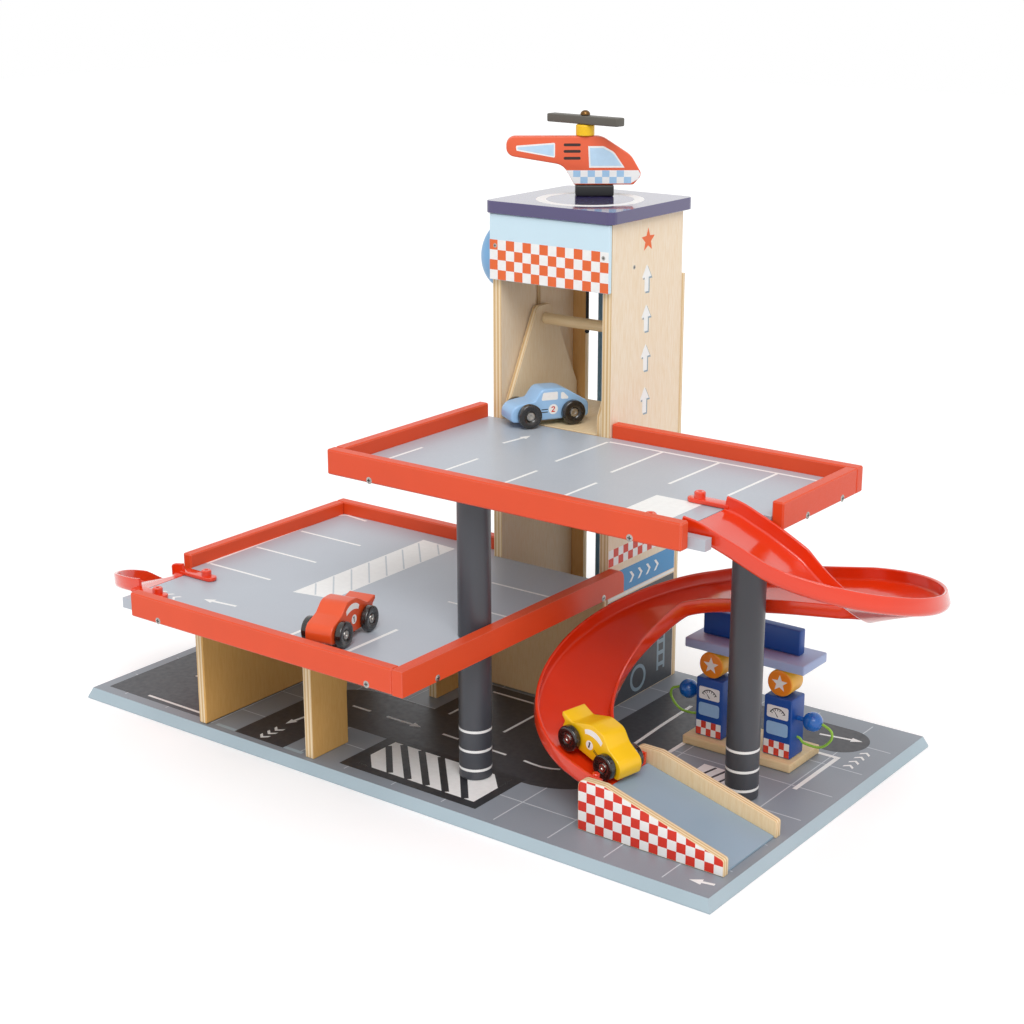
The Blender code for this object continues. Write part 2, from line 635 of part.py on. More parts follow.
def build_tower():
    floor = BOARD_T + GAP
    groove_foot = DOWEL_Z - LIFT_TRAVEL - GROOVE_FOOT
    for name, low, inner in (("tower_side_left", TOWER_X, TOWER_X + PLY),
                             ("tower_side_right", TOWER_RIGHT - PLY, TOWER_RIGHT - PLY)):
        side = box(name, "birch_ply", (low, TOWER_Y, floor), (low + PLY, TOWER_BACK, TOWER_TOP))
        groove = box(name + "_groove", None,
                     (inner - GROOVE_DEPTH, DOWEL_Y - GROOVE_W / 2, groove_foot),
                     (inner + GROOVE_DEPTH, DOWEL_Y + GROOVE_W / 2, TOWER_TOP + PLY))
        combine(side, groove)
        bore_from = TOWER_X - PLY if low == TOWER_X else inner - PLY
        bore_to = TOWER_X + 2 * PLY if low == TOWER_X else inner + SHAFT_SEAT + GAP
        bore = rod(name + "_bore", None, SHAFT_R + BORE_GAP, bore_from, bore_to, "X",
                   (0, WINCH_Y, WINCH_Z))
        combine(side, bore)
    back = TOWER_BACK + GAP + BACK_PANEL_T / 2
    top = BOARD_T + BACK_PANEL_H
    middle = TOWER_MID - BACK_WINDOW_ASIDE
    window = [(middle - BACK_WINDOW_W / 2, floor + BACK_WINDOW_SILL),
              (middle + BACK_WINDOW_W / 2, floor + BACK_WINDOW_SILL),
              (middle + BACK_WINDOW_W / 2, top - BACK_WINDOW_HEAD),
              (middle - BACK_WINDOW_W / 2, top - BACK_WINDOW_HEAD)]
    sheet = [(TOWER_X, floor), (TOWER_RIGHT, floor), (TOWER_RIGHT, top), (TOWER_X, top)]
    board("tower_back_panel", "birch_ply", [sheet, window], "XZ", back, BACK_PANEL_T)
    sign_foot = TOWER_TOP - SIGN_H
    box("tower_sign", "sign_paint", (TOWER_X, TOWER_Y - GAP - SIGN_T, sign_foot),
        (TOWER_RIGHT, TOWER_Y - GAP, TOWER_TOP), EDGE / 2)
    roof_left, roof_right = TOWER_X - ROOF_SIDE, TOWER_RIGHT + ROOF_SIDE
    roof_front, roof_back = TOWER_Y - ROOF_FRONT, TOWER_BACK + ROOF_REAR
    outline = fillet([(roof_left, roof_front, ROOF_CORNER_R), (roof_right, roof_front, ROOF_CORNER_R),
                      (roof_right, roof_back, ROOF_CORNER_R), (roof_left, roof_back, ROOF_CORNER_R)])
    board("tower_roof", "roof_paint", [outline], "XY", ROOF_TOP - ROOF_T / 2, ROOF_T, EDGE)


def build_ladder():
    """Flat ladder seen through the tower's back window."""
    middle = TOWER_MID - BACK_WINDOW_ASIDE
    left, right = middle - LADDER_W / 2, middle + LADDER_W / 2
    foot = BOARD_T + GAP
    head = BOARD_T + BACK_PANEL_H - LADDER_END
    outlines = [[(left, foot), (right, foot), (right, head), (left, head)]]
    low = foot + LADDER_STEP / 2
    while low + LADDER_STEP < head:
        high = low + LADDER_STEP - LADDER_RUNG
        outlines.append([(left + LADDER_RAIL, low), (right - LADDER_RAIL, low),
                         (right - LADDER_RAIL, high), (left + LADDER_RAIL, high)])
        low += LADDER_STEP
    behind = TOWER_BACK + 2 * GAP + BACK_PANEL_T + LADDER_T / 2
    board("tower_ladder", "ladder_paint", outlines, "XZ", behind, LADDER_T)


def eased(stations, share):
    """Value at a share of the run, blended over a stretch that shrinks to nothing at the ends."""
    reach = min(EASE, share, 1 - share)
    near = np.linspace(share - reach, share + reach, 9)
    return float(np.mean(np.interp(near, [s for s, v in stations], [v for s, v in stations])))


def route(start, heading, legs):
    """Plan points of a path from straight legs (length,) and turns (radius, degrees), left turns +."""
    at, angle, points = Vector(start), heading, [Vector(start)]
    for leg in legs:
        if len(leg) == 1:
            count = max(1, round(leg[0] / RUN_STEP))
            ahead = Vector((math.cos(angle), math.sin(angle))) * leg[0] / count
            for _ in range(count):
                at = at + ahead
                points.append(at.copy())
            continue
        radius, degrees = leg
        side = math.copysign(1, degrees)
        centre = at + Vector((-math.sin(angle), math.cos(angle))) * radius * side
        count = round(abs(degrees) / TURN_STEP)
        for _ in range(count):
            angle += math.radians(degrees) / count
            at = centre - Vector((-math.sin(angle), math.cos(angle))) * radius * side
            points.append(at.copy())
    return points


def channel_profile(name, half):
    """Section of a slide, with its underside on the path."""
    inner = half - CHANNEL_WALL
    corner = CHANNEL_CORNER
    outline = fillet([(-half, CHANNEL_RIM), (-half, 0, corner), (half, 0, corner),
                      (half, CHANNEL_RIM), (inner, CHANNEL_RIM), (inner, CHANNEL_WALL, corner / 2),
                      (-inner, CHANNEL_WALL, corner / 2), (-inner, CHANNEL_RIM)], 2)
    curve = outline_curve(name + "_section", [outline])
    curve.hide_render = True
    curve.display_type = "WIRE"
    CUTTERS.objects.link(curve)
    return curve


def channel(name, half, points, top, foot, drops, banks):
    """Slide along a plan path, falling from top to foot."""
    data = bpy.data.curves.new(name, "CURVE")
    data.dimensions = "3D"
    data.twist_mode = "Z_UP"
    data.bevel_mode = "OBJECT"
    data.bevel_object = channel_profile(name, half)
    data.use_fill_caps = True
    run = [0.0]
    for before, after in zip(points, points[1:]):
        run.append(run[-1] + (after - before).length)
    spline = data.splines.new("POLY")
    spline.points.add(len(points) - 1)
    for point, at, along in zip(spline.points, points, run):
        share = along / run[-1]
        point.co = (at.x, at.y, top + (foot - top) * eased(drops, share), 1)
        point.tilt = -math.radians(eased(banks, share))
    return place(meshed(bpy.data.objects.new(name, data)), "slide_plastic", (0, 0, 0))


def lug(slide, name, along_x, side_y, seat):
    """Flat lug over the deck beside the channel's mouth, with a boss on it."""
    tail, root = along_x
    tab = box(name, None, (min(tail, root), side_y - LUG_W / 2, seat),
              (max(tail, root), side_y + LUG_W / 2, seat + LUG_T))
    combine(slide, tab, "UNION")
    middle = tail + math.copysign(BOSS_BACK, root - tail)
    boss = rod(name + "_boss", None, BOSS_R, LUG_T / 2, LUG_T + BOSS_H, "Z",
               (middle, side_y, seat), 16)
    combine(slide, boss, "UNION")


def build_slide():
    start = NOTCH_X + GAP
    legs = [(SLIDE_START,), (SLIDE_TURN_1, 180), (start + SLIDE_START - RAMP_X,),
            (SLIDE_TURN_2, 180), (SLIDE_TAIL,)]
    points = route((start, SLIDE_Y), 0, legs)
    foot = BOARD_T + RAMP_LANDING + GAP
    slide = channel("main_slide", SLIDE_HALF, points, UPPER_TOP - CHANNEL_WALL, foot, SLIDE_DROPS,
                    SLIDE_BANKS)
    aside = SLIDE_HALF + LUG_W / 2 - CHANNEL_CORNER / 2 - CHANNEL_WALL / 2
    for word, side in (("front", -1), ("rear", 1)):
        lug(slide, "slide_lug_" + word, (start - LUG_REACH, start + LUG_ROOT),
            SLIDE_Y + side * aside, UPPER_TOP + GAP)
        peg = rod("slide_peg_" + word, None, PEG_R, CHANNEL_WALL / 2, PEG_H, "Z",
                  (RAMP_X + PEG_IN, SLIDE_END_Y + side * PEG_ASIDE, foot), 12)
        combine(slide, peg, "UNION")


def build_chute():
    start = LOWER_LEFT + RAIL_T + CHUTE_NOTCH - GAP
    legs = [(CHUTE_START,), (CHUTE_TURN, -90), (CHUTE_RUN,)]
    points = route((start, CHUTE_Y), math.pi, legs)
    flat = ((0, 0), (1, 0))
    chute = channel("exit_chute", CHUTE_HALF, points, LOWER_TOP - CHANNEL_WALL, BOARD_T + GAP,
                    CHUTE_DROPS, flat)
    aside = CHUTE_HALF + LUG_W / 2 - CHANNEL_CORNER / 2 - CHANNEL_WALL / 2
    for word, side in (("front", -1), ("rear", 1)):
        lug(chute, "chute_lug_" + word, (start + LUG_REACH, start - LUG_ROOT),
            CHUTE_Y + side * aside, LOWER_TOP + GAP)


def build_ramp():
    """Two shaped side plates with the sloping deck between them."""
    floor = BOARD_T + GAP
    end = RAMP_X + RAMP_L
    top = BOARD_T + RAMP_H
    outline = fillet([(RAMP_X, floor), (end, floor), (end, BOARD_T + RAMP_TOE_H, EDGE),
                      (RAMP_X + RAMP_FLAT, top, RAMP_CORNER_R), (RAMP_X, top, RAMP_CORNER_R)], 3)
    for name, middle in (("ramp_side_front", RAMP_FRONT - RAMP_PLATE_T / 2),
                         ("ramp_side_rear", RAMP_REAR + RAMP_PLATE_T / 2)):
        board(name, "birch_ply", [outline], "XZ", middle, RAMP_PLATE_T)
    seat = BOARD_T + RAMP_LANDING
    lip = RAMP_X + SLIDE_TAIL + GAP
    lip_top = seat + CHANNEL_WALL
    toe = end - RAMP_TOE
    outline = [(RAMP_X + GAP, seat), (lip, seat), (lip, lip_top), (toe, floor + RAMP_TOE),
               (toe, floor), (toe - RAMP_DECK_T, floor), (lip, seat - RAMP_DECK_T),
               (RAMP_X + GAP, seat - RAMP_DECK_T)]
    width = RAMP_REAR - RAMP_FRONT - 2 * GAP
    board("ramp_deck", "ramp_paint", [outline], "XZ", (RAMP_FRONT + RAMP_REAR) / 2, width)


def build_lift():
    left = TOWER_X + PLY + LIFT_GAP
    right = TOWER_RIGHT - PLY - LIFT_GAP
    foot = UPPER_TOP - LIFT_FLOOR_T
    back = LIFT_Y + LIFT_D
    box("lift_floor", "birch_ply", (left + LIFT_SIDE_T + GAP, LIFT_Y, foot),
        (right - LIFT_SIDE_T - GAP, back, UPPER_TOP), EDGE / 2)
    head_front = DOWEL_Y - LIFT_HEAD / 2
    head_back = DOWEL_Y + LIFT_HEAD / 2
    head = foot + LIFT_H
    outline = fillet([(LIFT_Y, foot), (back, foot), (back, foot + LIFT_SKIRT),
                      (head_back, head, LIFT_HEAD / 3), (head_front, head, LIFT_HEAD / 3),
                      (LIFT_Y, foot + LIFT_SKIRT)], 4)
    hole = rod("lift_pin_hole", None, PIN_R + GAP, TOWER_X, TOWER_RIGHT, "X",
               (0, DOWEL_Y, DOWEL_Z), 16)
    for name, middle in (("lift_side_left", left + LIFT_SIDE_T / 2),
                         ("lift_side_right", right - LIFT_SIDE_T / 2)):
        side = board(name, "birch_ply", [outline], "YZ", middle, LIFT_SIDE_T)
        combine(side, hole)
    reach = (right - left) / 2 + LIFT_GAP + PIN_REACH
    half = (right - left) / 2 - LIFT_SIDE_T - GAP
    profile = [(0, reach), (PIN_R, reach), (PIN_R, half), (DOWEL_R, half),
               (DOWEL_R, -half), (PIN_R, -half), (PIN_R, -reach), (0, -reach)]
    turned("lift_dowel", "birch_ply", profile, (TOWER_MID, DOWEL_Y, DOWEL_Z), "X", 20)
    rod("lift_cord", "cord_black", CORD_R, DOWEL_Z + DOWEL_R + GAP, WINCH_Z, "Z",
        (TOWER_MID, DOWEL_Y, 0), 10)


def build_winch():
    """Knob outside the tower, on a shaft whose drum winds the lift's cord."""
    face = TOWER_X - KNOB_GAP
    centre = (0, WINCH_Y, WINCH_Z)
    hub = SHAFT_R + GAP
    rim = KNOB_T / 3
    dome = [(KNOB_R * math.cos(a), face - rim - (KNOB_T - rim) * math.sin(a))
            for a in np.radians(np.linspace(0, 75, 6))]
    profile = [(0, face - KNOB_BORE), (hub, face - KNOB_BORE), (hub, face), (KNOB_R - EDGE, face),
               (KNOB_R, face - EDGE)] + dome + [(0, face - KNOB_T)]
    turned("winch_knob", "knob_paint", profile, centre, "X", 32)
    middle = TOWER_MID
    ends = [TOWER_RIGHT - PLY + SHAFT_SEAT, middle + DRUM_L / 2, middle - DRUM_L / 2,
            face - KNOB_BORE + GAP]
    cheek = DRUM_FLANGE_T
    profile = [(0, ends[0]), (SHAFT_R, ends[0]), (SHAFT_R, ends[1]), (DRUM_FLANGE_R, ends[1]),
               (DRUM_FLANGE_R, ends[1] - cheek), (DRUM_R, ends[1] - cheek),
               (DRUM_R, ends[2] + cheek), (DRUM_FLANGE_R, ends[2] + cheek),
               (DRUM_FLANGE_R, ends[2]), (SHAFT_R, ends[2]), (SHAFT_R, ends[3]), (0, ends[3])]
    turned("winch_shaft", "birch_ply", profile, centre, "X", 24)


def build_pumps():
    front = ISLAND_Y + PUMP_SETBACK
    foot = ISLAND_TOP + GAP
    top = foot + PUMP_H
    globe_z = top + GAP + GLOBE_R
    canopy_foot = globe_z + GLOBE_R + GAP
    canopy_left = ISLAND_X + (ISLAND_W - CANOPY_W) / 2
    middle_y = front + PUMP_D / 2
    box("pump_island", "birch_ply", (ISLAND_X, ISLAND_Y, BOARD_T + GAP),
        (ISLAND_X + ISLAND_W, ISLAND_Y + ISLAND_D, ISLAND_TOP), EDGE)
    sides = (("left", -1, ISLAND_X + PUMP_LEFT_IN),
             ("right", 1, ISLAND_X + ISLAND_W - PUMP_RIGHT_IN - PUMP_W))
    for word, side, low in sides:
        body = box("pump_body_" + word, "pump_paint", (low, front, foot),
                   (low + PUMP_W, front + PUMP_D, top), EDGE)
        globe_x = low + PUMP_W / 2
        rod("pump_globe_" + word, "globe_paint", GLOBE_R, -GLOBE_L / 2, GLOBE_L / 2, "Y",
            (globe_x, middle_y, globe_z), 28)
        face = low + PUMP_W if side > 0 else low
        build_nozzle(word, side, face, middle_y, body)
    box("pump_canopy", "canopy_paint", (canopy_left, front, canopy_foot),
        (canopy_left + CANOPY_W, front + CANOPY_D, canopy_foot + CANOPY_T), EDGE)
    panel_left = canopy_left + (CANOPY_W - PANEL_W) / 2 - PANEL_SHIFT
    panel_foot = canopy_foot + CANOPY_T + GAP
    box("pump_panel", "pump_paint", (panel_left, front + PANEL_SETBACK, panel_foot),
        (panel_left + PANEL_W, front + PANEL_SETBACK + PANEL_T, panel_foot + PANEL_H), EDGE)


def build_nozzle(word, side, face, y, body):
    """Ball on a peg in the pump's side, and the hose from the ball back into the pump."""
    ball_x = face + side * (NOZZLE_GAP + NOZZLE_R)
    seat_z = NOZZLE_Z - HOSE_DROP
    peg_tip = NOZZLE_GAP + NOZZLE_PEG_L
    arc = [(NOZZLE_R * math.sin(a), NOZZLE_R * math.cos(a)) for a in
           np.radians(np.linspace(0, 165, 12))]
    arc[0] = (0, NOZZLE_R)
    neck = [(NOZZLE_PEG_R, -NOZZLE_R), (NOZZLE_PEG_R, -NOZZLE_R - peg_tip), (0, -NOZZLE_R - peg_tip)]
    ball = turned("nozzle_ball_" + word, "ball_paint", arc + neck, (ball_x, y, NOZZLE_Z), "X", 20)
    if side < 0:
        ball.rotation_euler = (0, -math.pi / 2, 0)
    deep = BORE_GAP + GAP
    for name, radius, depth, z in (("peg_hole_", NOZZLE_PEG_R, NOZZLE_PEG_L, NOZZLE_Z),
                                   ("hose_hole_", HOSE_R, HOSE_SEAT, seat_z)):
        ends = sorted((face - side * (depth + deep), face + side * BOARD_LIP))
        hole = rod(name + word, None, radius + BORE_GAP, ends[0], ends[1], "X", (0, y, z), 12)
        combine(body, hole)
    data = bpy.data.curves.new("hose_" + word, "CURVE")
    data.dimensions = "3D"
    data.bevel_depth = HOSE_R
    data.bevel_resolution = 2
    data.use_fill_caps = True
    knots = [Vector((face + side * out, y, NOZZLE_Z - drop)) for out, drop in HOSE_LOOP]
    points = smooth_points(knots, 5)
    spline = data.splines.new("POLY")
    spline.points.add(len(points) - 1)
    for point, at in zip(spline.points, points):
        point.co = (*at, 1)
    place(meshed(bpy.data.objects.new("hose_" + word, data)), "hose_lime", (0, 0, 0))


def smooth_points(knots, per_span):
    """Points of a smooth curve through the knots."""
    ends = [2 * knots[0] - knots[1]] + list(knots) + [2 * knots[-1] - knots[-2]]
    points = []
    for a, b, c, d in zip(ends, ends[1:], ends[2:], ends[3:]):
        for k in range(per_span):
            t = k / per_span
            points.append(0.5 * (2 * b + (c - a) * t + (2 * a - 5 * b + 4 * c - d) * t * t
                                 + (3 * b - a - 3 * c + d) * t ** 3))
    points.append(knots[-1])
    return points


def build_helicopter():
    heli = group("helicopter", (TOWER_MID - HELI_ASIDE, TOWER_Y + HELI_BACK, ROOF_TOP + GAP),
                 (0, 0, math.radians(HELI_TURN)), CORNER)
    box("heli_stand", "stand_black", (STAND_AHEAD - STAND_L / 2, -STAND_W / 2, 0),
        (STAND_AHEAD + STAND_L / 2, STAND_W / 2, STAND_H), EDGE, heli)
    foot = STAND_H + GAP
    top = foot + HELI_H
    outline = fillet([(along, foot + height, r) for along, height, r in HELI_SIDE], 3)
    board("heli_body", "heli_paint", [outline], "XZ", 0, HELI_T, EDGE, heli)
    mast_foot = top + GAP
    mast_top = mast_foot + MAST_H
    hole = SCREW_R + GAP
    seat = mast_top - SCREW_SEAT
    profile = [(hole, mast_top), (MAST_R, mast_top), (MAST_R, mast_foot), (0, mast_foot)]
    profile = [(0, seat), (hole, seat)] + profile
    turned("heli_mast", "mast_paint", profile, (0, 0, 0), "Z", 24, heli)
    rotor_foot = mast_top + GAP
    rotor_top = rotor_foot + ROTOR_T
    rotor = box("heli_rotor", "rotor_paint", (-ROTOR_L / 2, -ROTOR_W / 2, rotor_foot),
                (ROTOR_L / 2, ROTOR_W / 2, rotor_top), EDGE, heli)
    rotor.rotation_euler = (0, 0, math.radians(ROTOR_TURN))
    bore = rod("rotor_bore", None, SCREW_R + BORE_GAP, -ROTOR_T, ROTOR_T, "Z", (0, 0, 0), 12, rotor)
    combine(rotor, bore)
    head_foot = rotor_top + GAP
    dome = [(SCREW_HEAD_R * math.sin(a), head_foot + SCREW_HEAD_H * math.cos(a))
            for a in np.radians((0, 22, 45, 68, 90))]
    dome[0] = (0, head_foot + SCREW_HEAD_H)
    dome[-1] = (SCREW_HEAD_R, head_foot)
    profile = dome + [(SCREW_R, head_foot), (SCREW_R, seat + GAP), (0, seat + GAP)]
    turned("rotor_screw", "steel", profile, (0, 0, 0), "Z", 16, heli)


def build_car(name, look, shape, where, heading, pitch=0.0):
    """Car with its nose at +X of its own empty, which lies on the floor under its middle."""
    car = group(name, where, (0, math.radians(pitch), math.radians(heading)), CORNER)
    body = board(name + "_body", look, [fillet(shape, 3)], "XZ", 0, CAR_W, CAR_EDGE, car)
    inner = CAR_W / 2 + WHEEL_GAP
    outer = inner + WHEEL_T
    half_profile = [(share * WHEEL_R, outer - depth * WHEEL_T) for share, depth in WHEEL_SECTION]
    half_profile.append((AXLE_R, inner))
    profile = half_profile + [(r, -z) for r, z in half_profile[::-1]]
    for word, x in (("front", CAR_FRONT_AXLE), ("rear", -CAR_REAR_AXLE)):
        bore = rod(name + "_bore_" + word, None, AXLE_R + BORE_GAP, -CAR_W, CAR_W, "Y",
                   (x, 0, WHEEL_R), 12, car)
        combine(body, bore)
        turned(name + "_" + word + "_wheels", "wheel_black", profile, (x, 0, WHEEL_R), "Y", 20, car)


def build_cars():
    build_car("blue_car", "car_blue", COUPE_SIDE, (*BLUE_PLACE, UPPER_TOP + GAP), BLUE_TURN)
    build_car("red_car", "car_red", RACER_SIDE, (*RED_PLACE, LOWER_TOP + GAP), RED_TURN)
    where = (RAMP_X - YELLOW_BACK, SLIDE_END_Y + YELLOW_ASIDE, BOARD_T + RAMP_LANDING + YELLOW_LIFT)
    build_car("yellow_car", "car_yellow", RACER_SIDE, where, YELLOW_TURN, YELLOW_PITCH)


build_base()
build_walls()
build_lower_deck()
build_upper_deck()
build_columns()
build_tower()
build_ladder()
build_slide()
build_chute()
build_ramp()
build_lift()
build_winch()
build_pumps()
build_helicopter()
build_cars()
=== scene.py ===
# %% [markdown]
# # Wooden toy service station
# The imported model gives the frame: every board, rail, slide and joint at its real size. This
# script gives it its looks. Places are typed in millimetres from the board's front left corner,
# the way they were measured, and `spot` turns them into the model's metres.

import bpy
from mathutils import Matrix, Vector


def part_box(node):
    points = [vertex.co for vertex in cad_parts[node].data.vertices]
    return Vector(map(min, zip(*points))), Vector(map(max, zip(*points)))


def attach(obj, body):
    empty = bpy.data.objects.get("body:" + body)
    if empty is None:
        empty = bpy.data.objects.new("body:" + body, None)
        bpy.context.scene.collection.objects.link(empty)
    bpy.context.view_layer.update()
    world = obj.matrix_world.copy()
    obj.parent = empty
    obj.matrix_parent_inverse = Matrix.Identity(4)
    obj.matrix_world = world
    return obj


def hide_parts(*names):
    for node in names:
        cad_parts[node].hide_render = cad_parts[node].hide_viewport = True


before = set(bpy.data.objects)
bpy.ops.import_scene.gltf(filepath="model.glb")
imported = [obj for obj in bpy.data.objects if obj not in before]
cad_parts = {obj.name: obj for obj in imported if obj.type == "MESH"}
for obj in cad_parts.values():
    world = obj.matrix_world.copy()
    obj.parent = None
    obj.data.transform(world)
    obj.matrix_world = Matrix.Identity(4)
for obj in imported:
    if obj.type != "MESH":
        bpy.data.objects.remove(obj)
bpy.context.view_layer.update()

# %%
import math

import bmesh
import bpy
from mathutils import Matrix, Vector

MM = 0.001
CORNER = (300, 163)     # half the board's width and depth
scene = bpy.context.scene


def spot(x, y, z):
    """Millimetres from the board's corner to metres in the model's frame."""
    return Vector(((x - CORNER[0]) * MM, (y - CORNER[1]) * MM, z * MM))


def placed(name, data):
    """New object in the scene."""
    ob = bpy.data.objects.new(name, data)
    scene.collection.objects.link(ob)
    return ob


# %% [markdown]
# ## Camera
# The camera was found by fitting a pinhole camera to some forty corners of the toy in the
# photograph: a 66 mm lens from 1.5 m, looking 17 degrees down.

# %%
lens = bpy.data.cameras.new("camera")
lens.lens = 65.75
lens.sensor_width = 36
camera = placed("camera", lens)
camera.location = (0.8467, -1.0985, 0.6043)
turn = Matrix.Rotation(math.radians(37.04), 3, "Z") @ Matrix.Rotation(math.radians(72.843), 3, "X")
camera.rotation_euler = (turn @ Matrix.Rotation(-0.0018, 3, "Z")).to_euler()
scene.camera = camera
scene.render.resolution_x = scene.render.resolution_y = 1024
scene.view_settings.view_transform = "Standard"
print("camera", [round(v, 3) for v in camera.location])

# %% [markdown]
# ## Node helpers
# Every node tree below, the studio's too, is built with these two. A Mix node's colours are its
# inputs 6 and 7 and its output 2. A Map Range node takes a value, the range that it comes from
# and, where it isn't 0 to 1, the range that it goes to.

# %%
def linear(code):
    """sRGB hex colour to linear red, green, blue and 1."""
    values = [int(code[i:i + 2], 16) / 255 for i in (0, 2, 4)]
    return [v / 12.92 if v <= 0.04045 else ((v + 0.055) / 1.055) ** 2.4 for v in values] + [1]


def add(tree, kind, inputs=None, output=0, **settings):
    """One output of a new shader node; each input is a value or another node's output."""
    node = tree.nodes.new("ShaderNode" + kind)
    for key, value in settings.items():
        setattr(node, key, value)
    for key, value in (inputs or {}).items():
        if isinstance(value, bpy.types.NodeSocket):
            tree.links.new(value, node.inputs[key])
        else:
            node.inputs[key].default_value = value
    return node.outputs[output]


print("node helpers ready")

# %% [markdown]
# ## Light and floor
# A white studio: even light from all round, one large soft lamp high behind the camera, and a
# white floor that runs out of the picture, so that only a faint shadow under the board shows.

# %%
world = bpy.data.worlds.new("studio")
scene.world = world
world.use_nodes = True
tree = world.node_tree


def clear_ray(tree):
    """1 for what the camera sees, directly, in a gloss or through something clear."""
    straight, gloss, clear = [add(tree, "LightPath", output=f"Is {ray} Ray")
                              for ray in ("Camera", "Glossy", "Transmission")]
    seen = add(tree, "Math", {0: straight, 1: gloss}, operation="MAXIMUM")
    return add(tree, "Math", {0: seen, 1: clear}, operation="MAXIMUM")


EVEN_LIGHT = 0.68
background = tree.nodes["Background"]
background.inputs["Color"].default_value = (1, 1, 1, 1)
extra = add(tree, "Math", {0: clear_ray(tree), 1: 1 - EVEN_LIGHT}, operation="MULTIPLY")
strength = add(tree, "Math", {0: extra, 1: EVEN_LIGHT}, operation="ADD")
tree.links.new(strength, background.inputs["Strength"])

sun = bpy.data.lights.new("soft_lamp", "SUN")
sun.energy = 1.6
sun.angle = math.radians(35)
lamp = placed("soft_lamp", sun)
lamp.rotation_euler = Vector((0.42, -0.5, 0.76)).to_track_quat("Z", "Y").to_euler()
print("world and lamp set")

# %%
bm = bmesh.new()
bmesh.ops.create_grid(bm, x_segments=2, y_segments=2, size=6)
mesh = bpy.data.meshes.new("studio_floor")
bm.to_mesh(mesh)
bm.free()
floor = placed("studio_floor", mesh)
floor.location.z = -0.0002
white = bpy.data.materials.new("white_studio_floor")
white.use_nodes = True
tree = white.node_tree
shader = tree.nodes["Principled BSDF"]
shader.inputs["Base Color"].default_value = (0.93, 0.93, 0.93, 1)
shader.inputs["Roughness"].default_value = 0.9
shader.inputs["Specular IOR Level"].default_value = 0.1
shader.inputs["Emission Color"].default_value = (1, 1, 1, 1)
glow = add(tree, "Math", {0: clear_ray(tree), 1: 0.16}, operation="MULTIPLY")
tree.links.new(glow, shader.inputs["Emission Strength"])
floor.data.materials.append(white)
print("floor set")

# %% [markdown]
# ## Tools for shapes
# Small functions that the pieces below share: a rounded outline, a plate cut from it, a turned
# solid, a block with broken edges and a layer of printing ink.

# %%
def made(name, bm, material, body, replaced=(), sharp=35):
    """Puts a finished shape into the scene, on its body and in place of CAD nodes."""
    bmesh.ops.recalc_face_normals(bm, faces=bm.faces)
    mesh = bpy.data.meshes.new(name)
    bm.to_mesh(mesh)
    bm.free()
    mesh.shade_smooth()
    mesh.set_sharp_from_angle(angle=math.radians(sharp))
    mesh.materials.append(material)
    ob = placed(name, mesh)
    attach(ob, body)
    if replaced:
        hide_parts(*replaced)
    return ob


def rounded(corners, steps=8):
    """Outline through (x, y) or (x, y, radius) corners."""
    points = []
    for i, corner in enumerate(corners):
        here = Vector(corner[:2])
        if len(corner) < 3 or not corner[2]:
            points.append(here)
            continue
        radius = corner[2]
        back = (Vector(corners[i - 1][:2]) - here).normalized()
        ahead = (Vector(corners[(i + 1) % len(corners)][:2]) - here).normalized()
        half = back.angle(ahead) / 2
        centre = here + (back + ahead).normalized() * radius / math.sin(half)
        first = here + back * radius / math.tan(half) - centre
        last = here + ahead * radius / math.tan(half) - centre
        sweep = first.angle_signed(last)
        for k in range(steps + 1):
            arm = first.copy()
            arm.rotate(Matrix.Rotation(-sweep * k / steps, 2))
            points.append(centre + arm)
    return points


def add_outline(bm, points, low, high):
    """Solid between two heights over an outline; returns its top and bottom faces."""
    foot = [bm.verts.new((p[0] * MM, p[1] * MM, low * MM)) for p in points]
    face = bm.faces.new(foot)
    grown = bmesh.ops.extrude_face_region(bm, geom=[face], use_keep_orig=True)
    verts = [g for g in grown["geom"] if isinstance(g, bmesh.types.BMVert)]
    bmesh.ops.translate(bm, vec=(0, 0, (high - low) * MM), verts=verts)
    return [g for g in grown["geom"] if isinstance(g, bmesh.types.BMFace)][0], face


def bevelled(bm, edges, width, segments=3):
    bmesh.ops.bevel(bm, geom=edges, offset=width * MM, offset_type="OFFSET", affect="EDGES",
                    segments=segments, profile=0.5, material=-1, clamp_overlap=True)


def plate(points, low, high, edge=0.6, segments=3):
    """Board cut to an outline, with its two rims rounded."""
    bm = bmesh.new()
    top, foot = add_outline(bm, points, low, high)
    if edge:
        bevelled(bm, list({e for f in (top, foot) for e in f.edges}), edge, segments)
    return bm


def block(low, high, edge=0.8, segments=3):
    """Block between two corners in millimetres, with all its edges broken."""
    low, high = Vector(low), Vector(high)
    bm = bmesh.new()
    bmesh.ops.create_cube(bm, size=1)
    bmesh.ops.scale(bm, vec=(high - low) * MM, verts=bm.verts)
    bmesh.ops.translate(bm, vec=(low + high) / 2 * MM, verts=bm.verts)
    bevelled(bm, bm.edges[:], edge, segments)
    return bm


def turned(profile, steps=64):
    """Turned solid about Z from (radius, height) points in millimetres."""
    bm = bmesh.new()
    line = [bm.verts.new((r * MM, 0, z * MM)) for r, z in profile]
    edges = [bm.edges.new(pair) for pair in zip(line, line[1:])]
    bmesh.ops.spin(bm, geom=line + edges, cent=(0, 0, 0), axis=(0, 0, 1), angle=math.tau,
                   steps=steps, use_merge=True)
    bmesh.ops.remove_doubles(bm, verts=bm.verts, dist=1e-7)
    return bm


def arc(x, y, radius, start, end, steps=8):
    """Points of an arc, angles in degrees."""
    return [(x + radius * math.cos(math.radians(start + (end - start) * k / steps)),
             y + radius * math.sin(math.radians(start + (end - start) * k / steps)))
            for k in range(steps + 1)]


